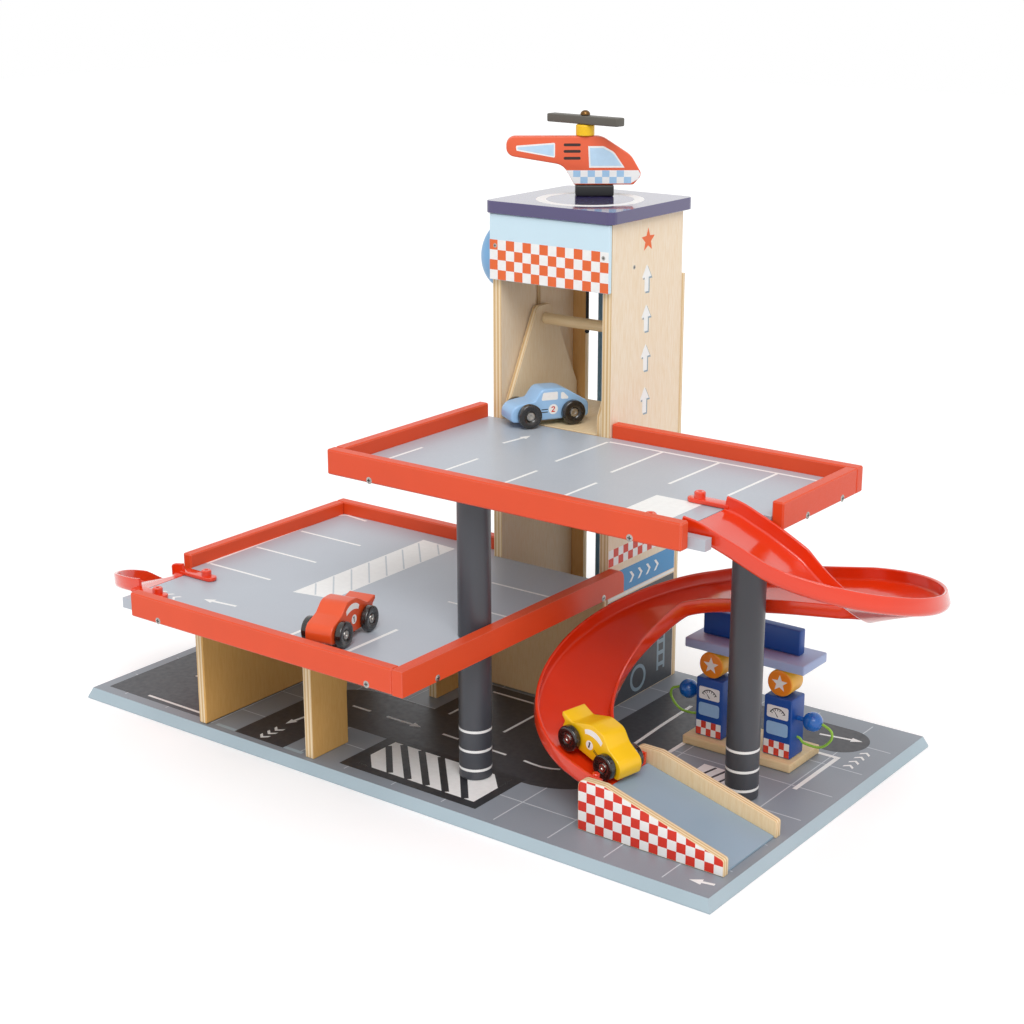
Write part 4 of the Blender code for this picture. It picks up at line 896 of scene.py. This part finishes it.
# %% [markdown]
# ## Petrol pumps
# Painted blocks on a birch island. Globes are discs with rounded rims, and a ball on a peg stands
# for each nozzle.

# %%
for name, slot, edge in (
        ("pump_island", "birch_ply", 1.0), ("pump_body_left", "pump_paint", 1.2),
        ("pump_body_right", "pump_paint", 1.2), ("pump_canopy", "canopy_paint", 1.1),
        ("pump_panel", "pump_paint", 1.1)):
    low, high = reach(name)
    made(name + "_rounded", moved(block(low, high, edge), SHIFT), PAINTS.get(slot, BIRCH),
         "station", (name,))
    print(name, [round(b - a, 1) for a, b in zip(low, high)])


# %%
def two_tone():
    """Orange globe face, yellow rim where the paint was sprayed from the side."""
    mat = painted("satin_orange_and_yellow_paint_on_disc", "F28A14", 0.34, 0.4, 0.15, 0.1, 0.2)
    tree = mat.node_tree
    shader = tree.nodes["Principled BSDF"]
    old = shader.inputs["Base Color"].links[0].from_socket
    front = add(tree, "Math", {0: facing(tree, 1)}, operation="ABSOLUTE")
    orange_face = toned(tree, front, 0.5, 0.9, linear("F6B21A"), old)
    tree.links.new(orange_face, shader.inputs["Base Color"])
    return mat


GLOBE = two_tone()
for name in ("pump_globe_left", "pump_globe_right"):
    centre, size = measured(name)
    radius, half = size[0] / 2, size[1] / 2
    profile = [(0, -half), (radius - 1.6, -half)] + arc(radius - 1.6, -half + 1.6, 1.6, -90, 0, 5)
    profile += arc(radius - 1.6, half - 1.6, 1.6, 0, 90, 5) + [(0, half)]
    made(name + "_turned", moved(turned(profile, 56), at(*centre, "Y")), GLOBE, "station",
         (name,))
for word, side in (("left", -1), ("right", 1)):
    low, high = reach("nozzle_ball_" + word)
    (_, y, z), _ = measured("nozzle_ball_" + word)
    r = 7.5
    x = low[0] + r if side < 0 else high[0] - r
    profile = [(0, r)] + [(r * math.sin(math.radians(t)), r * math.cos(math.radians(t)))
                          for t in range(8, 161, 8)]
    profile += [(1.8, -r), (1.8, -r - 11.6), (1.4, -r - 12), (0, -r - 12)]
    direction = Matrix.Rotation(side * math.pi / 2, 4, "Y")
    made("nozzle_ball_" + word + "_turned", moved(turned(profile, 48), at(x, y, z) @ direction),
         PAINTS["ball_paint"], "nozzle_" + word, ("nozzle_ball_" + word,))
    print("nozzle", word, "at", round(x, 1), round(y, 1), round(z, 1))

# %% [markdown]
# ### Hoses
# Each hose is a short elastic cord: out of the ball, down in a loop, and back into the pump.

# %%
def elastic():
    mat, tree, shader, where = begin("lime_elastic_cord", 0.42)
    ribs = add(tree, "TexWave", {"Vector": where, "Scale": 1 / (0.9 * MM), "Distortion": 2.0},
               output="Fac", bands_direction="DIAGONAL")
    give(tree, shader, add(tree, "Mix", {0: ribs, 6: linear("86BE2E"), 7: linear("A6D957")}, 2,
                           data_type="RGBA"), None, ribs, 0.08)
    return mat


def through(knots, per_span):
    """Points of a smooth curve through the knots."""
    ends = [2 * knots[0] - knots[1], *knots, 2 * knots[-1] - knots[-2]]
    points = []
    for a, b, c, d in zip(ends, ends[1:], ends[2:], ends[3:]):
        for k in range(per_span):
            t = k / per_span
            points.append(0.5 * (2 * b + (c - a) * t + (2 * a - 5 * b + 4 * c - d) * t * t
                                 + (3 * b - a - 3 * c + d) * t ** 3))
    return points + [knots[-1]]


LIME = elastic()
loop = ((20.3, 0), (27.75, 3.9), (27.75, 11.2), (19.2, 18.9), (6.0, 18.9), (1.5, 15.5), (-7, 15.5))
for word, side in (("left", -1), ("right", 1)):
    low, high = reach("pump_body_" + word)
    face, y = (low[0], high[0])[side > 0], (low[1] + high[1]) / 2
    points = through([spot(face + side * out, y, 47.5 - drop) for out, drop in loop], 8)
    data = bpy.data.curves.new("hose_" + word, "CURVE")
    data.dimensions = "3D"
    data.bevel_depth = 1.0 * MM
    data.bevel_resolution = 5
    data.use_fill_caps = True
    spline = data.splines.new("POLY")
    spline.points.add(len(points) - 1)
    for point, co in zip(spline.points, points):
        point.co = (*co, 1)
    data.materials.append(LIME)
    hose = placed("hose_" + word + "_elastic", data)
    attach(hose, "nozzle_" + word)
    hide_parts("hose_" + word)

# %% [markdown]
# ## Helicopter
# A flat body sawn from 10 mm board stands on a black foot. The rotor turns on a domed screw over
# a turned mast. It is drawn nose to the right and then turned as it stands on the roof.

# %%
HELI = Matrix.Translation(spot(304.4, 275.8, reach("heli_stand")[0][2])) @ Matrix.Rotation(
    math.radians(37), 4, "Z")
HELI_FOOT, height, turn = 8.6, 37.2, -42   # stand's height, body's height, the blade's turn
foot, top = HELI_FOOT, HELI_FOOT + height
outline = rounded([(-61.3, foot + 22.7, 7), (-61.3, top, 7), (13, top, 16), (36.2, foot + 22.1, 18),
                   (44.6, foot + 7.7, 5), (37.7, foot, 2.5), (-8.3, foot, 1.2),
                   (-16.9, foot + 15.3, 12)], 8)
body = moved(plate(outline, -5, 5, 0.9), SIDE)
made("heli_body_sawn", moved(body, HELI), PAINTS["heli_paint"], "helicopter",
     ("heli_body",))
stand = block((-7.4, -7, 0), (22.6, 7, 8.3), 1.1)
made("heli_stand_block", moved(stand, HELI), PAINTS["stand_black"], "helicopter",
     ("heli_stand",))
mast = [(0, top + 0.3), (6.7, top + 0.3), (7.3, top + 0.9), (7.3, top + 7.9), (6.4, top + 8.8),
        (1.5, top + 8.8), (1.5, top + 3), (0, top + 3)]
made("heli_mast_turned", moved(turned(mast, 56), HELI), PAINTS["mast_paint"], "helicopter",
     ("heli_mast",))
low_z = top + 9.1
blade = rounded([(-35.5, -5, 1.4), (35.5, -5, 1.4), (35.5, 5, 1.4), (-35.5, 5, 1.4)], 4)
blade = moved(plate(blade, low_z, low_z + 6.5, 1.0), Matrix.Rotation(math.radians(turn), 4, "Z"))
made("heli_rotor_bar", moved(blade, HELI), PAINTS["rotor_paint"], "rotor",
     ("heli_rotor",))
head, shank = low_z + 6.8, 9.3
dome = [(0, head - shank), (1.2, head - shank), (1.2, head), (3.6, head), (3.9, head + 0.4)]
dome += [(3.9 * math.cos(math.radians(t)), head + 0.4 + 3.4 * math.sin(math.radians(t)))
         for t in range(10, 90, 10)] + [(0, head + 3.8)]
made("rotor_screw_domed", moved(turned(dome, 40), HELI), BRASS, "helicopter",
     ("rotor_screw",))
print("helicopter top", round(head + 3.8, 1), "packed", round(reach("rotor_screw")[1][2], 1))

# %% [markdown]
# ## Cars
# Each body is sawn from 21.5 mm beech, sanded round and painted. Wheels are turned, with a raised
# tread, a sunk face and the head of a steel axle pin.

# %%
COUPE = [(33.5, 4.5, 4), (33.5, 17.5, 9), (13.5, 20.3, 3), (7, 29.5, 7), (-12, 29, 16),
         (-32.5, 16.5, 6), (-32.5, 4.5, 3)]
RACER = [(31.5, 4.5, 3), (31.5, 16.5, 8), (16, 22, 6), (8, 29.5, 9), (-5, 29.5, 13),
         (-21.5, 20.5, 5), (-32.5, 22.8, 0.6), (-32.5, 19.8, 0.6), (-28.5, 17, 1.5),
         (-30.5, 4.5, 3)]
CAR_HALF, WHEEL_R = 10.75, 9.7
# outline, place on the toy, heading, pitch
CARS = {"car_blue": (COUPE, (304.8, 224.0, UPPER_TOP + 0.3), 239.6, 0),
        "car_red": (RACER, (283.8, 2, LOWER_TOP + 0.3), -78.4, 0),
        "car_yellow": (RACER, (459.5, 75.5, 44.2), -11, 16.3)}


def car_matrix(look):
    _, place, heading, pitch = CARS[look]
    return (Matrix.Translation(spot(*place)) @ Matrix.Rotation(math.radians(heading), 4, "Z")
            @ Matrix.Rotation(math.radians(pitch), 4, "Y"))


def wheel_profile():
    """Lathe profile of one wheel, from its outer face (z = 16.6) to the body's side (11.2)."""
    return ([(0, 15.2), (3.7, 15.2), (4.4, 15.9), (5.2, 16.3), (7.0, 16.5)]
            + arc(8.25, 15.25, 1.35, 80, 0, 5) + [(9.65, 14.3), (WHEEL_R, 13.3), (WHEEL_R, 12.5)]
            + arc(8.6, 12.3, 1.1, 0, -90, 4) + [(1.5, 11.2), (1.5, 0)])


def both_sides(profile):
    """Lathe profile and its mirror image, as one closed line or as two pieces' lines."""
    return profile, [(r, -z) for r, z in profile]


PIN = [(0, 15.3), (1.1, 15.3), (1.5, 15.9), (2.4, 16.15), (3.2, 15.9), (3.5, 15.3), (3.5, 15.1),
       (0, 15.1)]
for look, (shape, *_) in CARS.items():
    colour = look[4:]
    car, matrix = colour + "_car", car_matrix(look)
    body = moved(plate(rounded(shape, 8), -CAR_HALF, CAR_HALF, 1.3, 4), SIDE)
    made(car + "_body_sawn", moved(body, matrix), PAINTS[look], car, (car + "_body",))
    for word, x in (("front", 19.0), ("rear", -18.0)):
        place = matrix @ Matrix.Translation((x * MM, 0, WHEEL_R * MM)) @ AXES["Y"]
        axle = f"{colour}_{word}_axle"
        near, far = both_sides(wheel_profile())
        made(f"{car}_{word}_wheels_turned", moved(turned(near + far[::-1], 56), place),
             BLACK_LACQUER, axle, (f"{car}_{word}_wheels",))
        pins = joined(*[turned(line, 32) for line in both_sides(PIN)])
        made(f"{car}_{word}_pins", moved(pins, place), HUB, axle)
    print(car, "body box", [round(v, 1) for v in reach(car + "_body")[1]])

# %% [markdown]
# ## Printed markings
# Roads, parking bays and patterns are screen printed on the boards. Each is a layer of ink a few
# hundredths of a millimetre thick with its own outline, drawn on the surface that it lies on.
# Words of the real toy are left out; arrows, chevrons and plain stripes stand in their places.

# %%
def strip(x0, y0, x1, y1, width=2.4):
    """Outline of one painted line."""
    return ribbon([(x0, y0), (x1, y1)], width)


def arrow(x0, y0, x1, y1, width=2.6, head=9.0):
    """Outline of an arrow from its tail to its tip."""
    tail, tip = Vector((x0, y0)), Vector((x1, y1))
    ahead = (tip - tail).normalized()
    side = Vector((-ahead.y, ahead.x))
    neck = tip - ahead * head
    return [tail + side * width / 2, neck + side * width / 2, neck + side * head * 0.42, tip,
            neck - side * head * 0.42, neck - side * width / 2, tail - side * width / 2]


def chevron(x, y, heading, size=9.0, width=3.0):
    """Outline of a chevron that points along heading, in degrees."""
    points = [(0, size / 2), (width, size / 2), (width + size * 0.45, 0), (width, -size / 2),
              (0, -size / 2), (size * 0.45, 0)]
    turn = Matrix.Rotation(math.radians(heading), 2)
    return [turn @ Vector(p) + Vector((x, y)) for p in points]


def squares(x, y, size, columns, rows, height=None, odd=0):
    """Every second square of a chequered field whose low corner is x, y."""
    height = height or size
    return [[(x + c * size + a * size, y + r * height + b * height)
             for a, b in ((0, 0), (1, 0), (1, 1), (0, 1))]
            for c in range(columns) for r in range(rows) if (c + r) % 2 == odd]


def box_outline(x0, y0, x1, y1, radius=0.4):
    """Outline of a rectangle between two corners, its own corners rounded."""
    return rounded([(x0, y0, radius), (x1, y0, radius), (x1, y1, radius), (x0, y1, radius)], 6)


def star(x, y, tips, notches):
    """Outline of a five-pointed star from the radii of its tips and of its notches."""
    return [(x + r * math.sin(math.radians(36 * k)), y + r * math.cos(math.radians(36 * k)))
            for k, r in enumerate((tips, notches) * 5)]


PATCH_INK = printed("near_black_printing_ink", "2C2D31", "column_paint", 0.4, 0.08)
TILE_INK = printed("thin_white_printing_ink", "C9CFD5")
KERB_INK = printed("pale_blue_grey_printing_ink", "A9BAC2")
print("print tools ready")

# %% [markdown]
# ### Base board
# The grey ground is tiled with hair lines. A charcoal road runs in from the front, bends round
# behind the lift and leaves at the right, past the pumps.

# %%
board_high = reach("base_board")[1]
TOP = board_high[2]
ends_x, ends_y = (9.6, board_high[0] - 9.6), (9.6, board_high[1] - 9.6)
tiles_x = [strip(x, ends_y[0], x, ends_y[1], 0.9) for x in (
    35, 83, 134.8, 181.7, 228.6, 275.5, 322, 369, 416.5, 463.5, 510.5, 557)]
tiles_y = [strip(ends_x[0], y, ends_x[1], y, 0.9) for y in (44.2, 91, 138, 184.8, 231.6, 278.5)]
ink("base_tile_lines_across", tiles_x, FLAT, TOP, TILE_INK, thick=0.02)
ink("base_tile_lines_along", tiles_y, FLAT, TOP, TILE_INK, thick=0.025)
road = rounded([(161, 9.6), (213, 9.6), (213, 70, 18), (456, 70, 60), (456, 255, 12),
                (571, 255, 22.9), (571, 301, 22.9), (391, 301), (391, 205), (259, 205), (259, 137),
                (161, 137, 45)], 12)
garage = box_outline(12.5, 13, 126, 205)
ink("base_road", [road, garage], FLAT, TOP, ROAD_INK, thick=0.05)
ink("base_kerb_patch", [box_outline(140, 9.6, 161, 13), box_outline(213, 9.6, 232, 13)], FLAT, TOP,
    KERB_INK, thick=0.05)
lines = [strip(53, y, 126, y, 2.6) for y in (19, 72, 125, 178)]
lines += [arrow(186.5, 66, 183, 44), chevron(186, 36, -90, 9, 3), chevron(186, 28, -90, 9, 3),
          chevron(186, 20, -90, 9, 3), strip(201.7, 103, 220.4, 103), arrow(238, 103, 273, 103),
          strip(295, 103, 311, 102.6), strip(344, 101.8, 358, 101.6),
          ribbon([(375, 101.4), (384, 100.4), (392, 100.3), (400, 102.2), (406, 105.2)], 2.4),
          ribbon([(425, 178), (422.5, 220), (421, 266)], 3.0),
          ribbon([(274.6, 136), (274.6, 180)], 2.4), strip(331, 134, 331, 179),
          strip(274.6, 194, 331, 194), arrow(530, 279, 564, 285)]
lines += [chevron(576, y, 90, 8, 2.6) for y in (236, 245, 254, 263)]
lines += [chevron(588, y, 180, 8, 2.6) for y in (44, 57, 70, 83, 96)]
lines.append(arrow(590.5, 21.5, 573, 17.8))
lines += [strip(454.6, 180, 454.6, 249, 3.6), strip(456.6, 247.2, 564, 247.2, 3.6),
          strip(562.2, 245.2, 562.2, 180, 3.6)]      # the bay round the pumps
ink("base_white_lines", lines, FLAT, TOP + 0.05, WHITE_INK, thick=0.03)
print("base lines:", len(lines), "tile lines:", len(tiles_x) + len(tiles_y))

# %%
box_black = box_outline(266, 15, 396, 75)
box_white = box_outline(275.5, 23.5, 388, 69)
bars = [strip(276, 60.5, 308, 24.5, 5)]
bars += [strip(x0, 69, x1, 24, 5.5) for x0, x1 in ((284, 326), (302, 343.5), (321, 361.5),
                                                   (342, 379.5))]
bars += [[(275.5, 23.5), (291, 23.5), (275.5, 40)], [(388, 69), (372, 69), (388, 52)]]
ink("base_box_border", [box_black], FLAT, TOP, PATCH_INK, thick=0.055)
ink("base_box_field", [box_white], FLAT, TOP + 0.055, WHITE_INK, thick=0.02)
ink("base_box_bars", bars, FLAT, TOP + 0.075, PATCH_INK, thick=0.02)
stripes = [strip(489 + 9 * k, 131, 498 + 9 * k, 177, 2.2) for k in range(4)]
ink("base_hatched_field", [box_outline(487, 130, 528, 178)], FLAT, TOP, WHITE_INK, thick=0.04)
ink("base_hatched_bars", stripes, FLAT, TOP + 0.04, PATCH_INK, thick=0.02)
print("hatched boxes:", len(bars) + len(stripes), "bars")

# %% [markdown]
# ### Decks
# White parking bays and arrows on both decks, and a hatched island on the lower one.

# %%
lines = [ribbon([(86.8, 59.4), (82.9, 215), (84.5, 222), (90, 225.5), (114.7, 222.2)], 2.6),
         arrow(178, 1.5, 147, -2)]
lines += [strip(89, y, 156, y) for y in (61, 114, 168)]
lines += [strip(300, y, 363, y) for y in (105.6, 160)]
lines += [strip(253, -23, 253, -5, 3), strip(308, -21, 308, 36.5, 3)]
lines += [chevron(x, 3 - 0.12 * x, 180, 8, 2.6) for x in (112, 121, 130)]
ink("lower_deck_lines", lines, FLAT, LOWER_TOP, WHITE_INK, slot="deck_paint", thick=0.03)
island = [(190, 50.7), (225.5, 57.8), (224.2, 208.7), (187.9, 211.6)]
hatch = [strip(190.6, 97 + 21 * k, 223.6, 60 + 21 * k, 1.3) for k in range(6)]
hatch += [strip(190.8, 76, 208.4, 56.4, 1.3), strip(205.6, 208.6, 223.4, 188.6, 1.3)]
ink("lower_deck_island", [island], FLAT, LOWER_TOP, WHITE_INK, slot="deck_paint", thick=0.03)
ink("lower_deck_hatching", hatch, FLAT, LOWER_TOP + 0.03, TILE_INK, slot="deck_paint", thick=0.02)
lines = [box_outline(484, 58, 521, 108)]
lines += [strip(x, 58, x, 108) for x in (275, 328, 382, 434)]
lines += [strip(379, 205, 562, 205)] + [strip(x, 136, x, 203.8) for x in (378, 427, 476, 524)]
lines += [arrow(316, 154, 320, 184)]
ink("upper_deck_lines", lines, FLAT, UPPER_TOP, WHITE_INK, slot="deck_paint", thick=0.03)
print("deck lines printed")

# %% [markdown]
# ### Roof, sign and tower side
# A landing ring on the glossy roof, an orange and white chequered sign, and a printed garage door
# under a chequered band on the tower's side.

# %%
ROOF = reach("tower_roof")[1][2]
ring = moved(turned([(34, 0), (42, 0), (42, 0.04), (34, 0.04), (34, 0)], 96),
             at(320, 261, ROOF))
made("roof_landing_ring", ring, WHITE_INK, "station")
sign_low, sign_high = reach("tower_sign")
face = -sign_low[1]
across = (sign_high[0] - sign_low[0]) / 14
field = box_outline(sign_low[0] + 0.3, sign_low[2] + 0.3, sign_high[0] - 0.3, sign_low[2] + 31.2)
ink("sign_white_field", [field], FRONT, face, WHITE_INK, thick=0.03)
ORANGE_INK = printed("orange_printing_ink", "E9692F", "rail_paint")
orange = squares(sign_low[0], sign_low[2], across, 14, 4, 7.8, 1)
orange = [[(min(max(u, sign_low[0] + 0.3), sign_high[0] - 0.3), max(v, sign_low[2] + 0.3))
           for u, v in shape] for shape in orange]
ink("sign_orange_squares", orange, FRONT, face + 0.03, ORANGE_INK, thick=0.02)
print("sign squares:", len(orange))

# %%
SIDE_FACE = reach("tower_side_right")[1][0]
near, far = reach("tower_side_right")[0][1] + 0.8, reach("tower_side_right")[1][1] - 0.8
RED_INK = printed("red_printing_ink", "D8402C", "rail_paint")
BLUE_INK = printed("blue_printing_ink", "4C94C9", "ladder_paint")
DOOR_INK = printed("dark_grey_printing_ink", "404449", "column_paint", 0.42)
size = (far - near) / 14
ink("side_white_field", [box_outline(near, 130.7, far, 144.5)], RIGHT, SIDE_FACE, WHITE_INK,
    thick=0.03)
ink("side_red_squares", squares(near, 130.7, size, 14, 2, 6.9), RIGHT, SIDE_FACE + 0.03, RED_INK,
    thick=0.02)
ink("side_blue_band", [box_outline(near, 105.2, far, 124.5)], RIGHT, SIDE_FACE, BLUE_INK,
    thick=0.03)
band = [box_outline(near, 102.2, far, 104.4)]
band += [chevron(near + 30 + 12 * k, 115, 0, 9, 3) for k in range(4)]
ink("side_band_marks", band, RIGHT, SIDE_FACE + 0.03, WHITE_INK, thick=0.02)
ink("side_garage_door", [box_outline(near, 9.8, far, 101)], RIGHT, SIDE_FACE, DOOR_INK,
    thick=0.03)
rungs = [box_outline(288, 21, 290.5, 90), box_outline(297.5, 21, 300, 90)]
rungs += [box_outline(290.5, 24 + 10 * k, 297.5, 27.5 + 10 * k) for k in range(7)]
rungs += [box_outline(near + 4, 30 + 18 * k, 240, 31 + 18 * k) for k in range(4)]
LADDER_INK = printed("blue_grey_printing_ink", "8FA4B0", "canopy_paint")
ink("side_door_bars", rungs, RIGHT, SIDE_FACE + 0.03, LADDER_INK, thick=0.02)
hoop = moved(turned([(8.5, 0), (11.5, 0), (11.5, 0.05), (8.5, 0.05), (8.5, 0)], 48),
             RIGHT @ Matrix.Translation((260 * MM, 24 * MM, (SIDE_FACE + 0.02) * MM)))
made("side_door_ring", hoop, LADDER_INK, "station")
ink("side_star", [star(262.6, 381.9, 9.5, 4.2)], RIGHT, SIDE_FACE, ORANGE_INK, thick=0.03)
up = [(-2.8, -10.5), (2.8, -10.5), (2.8, 0.5), (6.6, 0.5), (0, 10.5), (-6.6, 0.5), (-2.8, 0.5)]
for name, aside, sink, level, look in (("side_arrow_shadows", 263.0, 1.4, 0, LADDER_INK),
                                       ("side_arrows", 261.5, 0, 0.03, WHITE_INK)):
    shapes = [[(u + aside, v + z - sink) for u, v in up] for z in (353, 322, 291, 257)]
    ink(name, shapes, RIGHT, SIDE_FACE + level, look, thick=0.03)
print("tower side printed, face at", round(SIDE_FACE, 1))

# %% [markdown]
# ### Pumps
# Each pump has a white gauge, a pale blue screen and a chequered foot, and a star on its globe.

# %%
SCREEN_INK = printed("pale_blue_printing_ink", "9CC3E8", "canopy_paint")
for word in ("left", "right"):
    low, high = reach("pump_body_" + word)
    x0, x1, face = low[0] + 0.9, high[0] - 0.9, -low[1]
    middle = (x0 + x1) / 2
    step = (x1 - x0) / 5
    ink(f"pump_{word}_white", [box_outline(middle - 9, high[2] - 17, middle + 9, high[2] - 7, 1.5),
                               box_outline(x0, low[2] + 0.9, x1, low[2] + 12.3)], FRONT, face,
        WHITE_INK, thick=0.03)
    ink(f"pump_{word}_red_squares", squares(x0, low[2] + 0.9, step, 5, 2, 5.7), FRONT, face + 0.03,
        RED_INK, thick=0.02)
    screen = box_outline(middle - 9, high[2] - 30.5, middle + 9, high[2] - 20, 2)
    ink(f"pump_{word}_screen", [screen], FRONT, face, SCREEN_INK, thick=0.03)
    pivot = high[2] - 15.8      # height of the gauge's needle pin
    scale = arc(middle, pivot, 7.2, 25, 155, 12) + arc(middle, pivot, 6.4, 155, 25, 12)
    dial = [scale, [(middle - 0.3, pivot), (middle + 0.7, pivot), (middle - 3.6, pivot + 5.4)]]
    dial += [strip(middle + 4.9 * math.cos(a), pivot + 4.9 * math.sin(a),
                   middle + 6.4 * math.cos(a), pivot + 6.4 * math.sin(a), 0.5)
             for a in [math.radians(t) for t in range(30, 151, 20)]]
    ink(f"pump_{word}_gauge", dial, FRONT, face + 0.03, BLACK_INK, thick=0.02)
    globe = "pump_globe_" + word
    (x, _, z), _ = measured(globe)
    ink(f"pump_{word}_star", [star(x, z, 6.8, 2.9)], FRONT, -reach(globe)[0][1], WHITE_INK)
    print("pump", word, "face", round(x1 - x0, 1), "mm wide")

# %% [markdown]
# ### Helicopter and cars
# Both faces of the flat body carry windows, vents and a chequered belly. The cars have side
# windows, a roundel with a plain number and thin stripes.

# %%
def on_both_faces(name, shapes, matrix, half, material, body, thick=0.03, level=0.0, about=None,
                  slot=None):
    """Prints the same outlines on a flat body's two faces, unmirrored where about is given."""
    for word, side in (("near", 1), ("far", -1)):
        drawn = [[(side * u, v) for u, v in shape][::side] for shape in shapes]
        if about is not None:
            drawn = [[(u - (1 - side) * about, v) for u, v in shape] for shape in shapes]
        plane = matrix @ Matrix.Rotation(0 if side > 0 else math.pi, 4, "Z") @ SIDE
        ink(f"{name}_{word}", drawn, plane, half + level, material, body, slot, thick)


WINDOW_INK = printed("light_blue_printing_ink", "BFDCF2", "canopy_paint")
SQUARE_INK = printed("sky_blue_printing_ink", "A5CBEA", "canopy_paint")
VENT_INK = printed("dark_brown_printing_ink", "33211B", "stand_black")
belly = [(-14.4, 11.2), (-8.6, 1.0), (35.5, 1.0), (41.5, 4.5), (43.2, 8.2), (41.6, 11.2)]
cockpit = rounded([(2.3, 29.8), (14.3, 29.8, 5), (22.5, 25.2, 8), (30.8, 13.2), (3.2, 13.2)], 6)
pane = rounded([(3.6, 28.4), (13.9, 28.4, 5), (21.6, 24.2, 8), (28.6, 14.6), (4.4, 14.6)], 6)
tail = rounded([(-53.8, 30.2, 1), (-23.4, 32.4, 1), (-23.4, 20.9, 1), (-53.4, 26.4, 1)], 4)
tail_pane = rounded([(-52.6, 29, .6), (-24.4, 31.2, .6), (-24.4, 22.1, .6), (-52.4, 27.4, .6)], 4)
vents = [box_outline(-16.7, z - 1.1, -3.5, z + 1.1, 1.0) for z in (30.8, 25.8, 20.5)]
blue = squares(-9.2, 6.1, 5.65, 9, 1, 5.0) + squares(-9.2, 1.1, 5.65, 8, 1, 5.0, 1)
blue = [shape for shape in blue if shape[1][0] < 40.5]
for name, shapes, material, level in (
        ("heli_white", [belly, cockpit, tail], WHITE_INK, 0.0),
        ("heli_panes", [pane, tail_pane], WINDOW_INK, 0.03),
        ("heli_squares", blue, SQUARE_INK, 0.03), ("heli_vents", vents, VENT_INK, 0.0)):
    lifted = [[(x, z + HELI_FOOT) for x, z in shape] for shape in shapes]
    on_both_faces(name, lifted, HELI, 5, material, "helicopter", level=level)
print("helicopter prints:", len(blue), "squares on each face")

# %%
ONE = [(-0.9, -2), (0.4, -2), (0.4, 2), (-0.5, 2), (-1.3, 1.1), (-0.9, 0.7), (-0.4, 1.0),
       (-0.4, -2)]
TWO = [(-1.4, -2), (1.4, -2), (1.4, -1.3), (-0.3, -1.3), (1.3, 0.5), (1.3, 1.4), (0.6, 2),
       (-0.7, 2), (-1.4, 1.3), (-1.4, 0.8), (-0.7, 0.8), (-0.4, 1.3), (0.4, 1.3), (0.5, 0.7),
       (-1.4, -1.3)]
crescent = arc(0.6, 12.2, 14.2, 50, 132, 12) + arc(0.6, 4.0, 17.8, 117, 62, 12)
panes = [rounded([(8.1, 20.4, 1), (6.5, 26.6, 1.5), (-6, 26.6, 1), (-6, 20.2, 1)], 5),
         rounded([(-8.6, 20.5, 1), (-8.6, 26, 1), (-11, 25.6, 1.5), (-16.5, 20, 1)], 5)]
OFF_WHITE = printed("off_white_printing_ink", "F8F8F6")
DIGIT_SCALE = 1.15
for look, (shape, *_) in CARS.items():
    car, matrix = look[4:] + "_car", car_matrix(look)
    if shape is COUPE:
        windows, number, digit_ink, x, z, radius = panes, TWO, RED_INK, -2.1, 12.8, 4
        stripes = [strip(2.5, 13.1, 8, 13.1, 0.75), strip(2.5, 10.9, 8, 10.9, 0.75)]
    else:
        windows, number, digit_ink, x, z, radius = [crescent], ONE, BLACK_INK, -1.2, 14, 3.5
        stripes = [strip(3.4, 13.2, 8.6, 11.4, 0.6), strip(3.4, 12, 8.6, 10.2, 0.6)]
    digit = [(u * DIGIT_SCALE + x, v * DIGIT_SCALE + z) for u, v in number]
    roundel = arc(x, z, radius, 0, 350, 35)
    on_both_faces(car + "_white", windows + [roundel], matrix, CAR_HALF, OFF_WHITE, car)
    on_both_faces(car + "_number", [digit], matrix, CAR_HALF, digit_ink, car, 0.02, 0.03, x,
                  "stand_black")
    on_both_faces(car + "_stripes", stripes, matrix, CAR_HALF, BLACK_INK, car)
print("cars printed:", len(CARS))

# %% [markdown]
# ## Screws
# Small zinc plated screws hold rails, sign and tower side. Each head is turned with a rounded rim
# and carries a black ink cross, painted shade that stands in for its deep and narrow cross recess.

# %%
def screw_places():
    """(plane, u, v, surface) of each screw seen in the photograph."""
    rail = {name: reach(name) for name in RAILS}
    found = [(FRONT, u, 113.5, -rail["lower_rail_front"][0][1]) for u in (143, 350)]
    found += [(RIGHT, u, 113.5, rail["lower_rail_right"][1][0]) for u in (-8, 195)]
    found += [(FRONT, u, 230, -rail["upper_rail_front"][0][1]) for u in (288, 512)]
    found += [(RIGHT, u, 230, rail["upper_rail_right"][1][0]) for u in (145, 195)]
    found.append((RIGHT, 244.1, 363.5, SIDE_FACE))
    return found + [(FRONT, u, 374.4, -sign_low[1] + 0.05) for u in (266.5, 368.0)]


# outline of the painted shade that stands in for the deep cross recess
cross = [(0.4, 1.5), (-0.4, 1.5), (-0.4, 0.4), (-1.5, 0.4), (-1.5, -0.4), (-0.4, -0.4),
         (-0.4, -1.5), (0.4, -1.5), (0.4, -0.4), (1.5, -0.4), (1.5, 0.4), (0.4, 0.4)]
profile = [(0, 0.34), (1.6, 0.3), (2.3, 0.16), (2.6, 0.02), (2.6, 0), (0, 0)]
for k, (plane, u, v, level) in enumerate(screw_places()):
    size = 0.65 if v > UPPER_TOP + 60 else 1        # finer screws in the sign and tower side
    seat = plane @ Matrix.Translation((u * MM, v * MM, level * MM)) @ Matrix.Scale(size, 4)
    made(f"screw_head_{k + 1}", moved(turned(profile, 32), seat), STEEL, "station")
    # the black cross is painted shade, not a cut recess
    ink(f"screw_recess_shade_{k + 1}", [cross], seat, 0.26, BLACK_INK, thick=0.1)
print("screws:", k + 1)
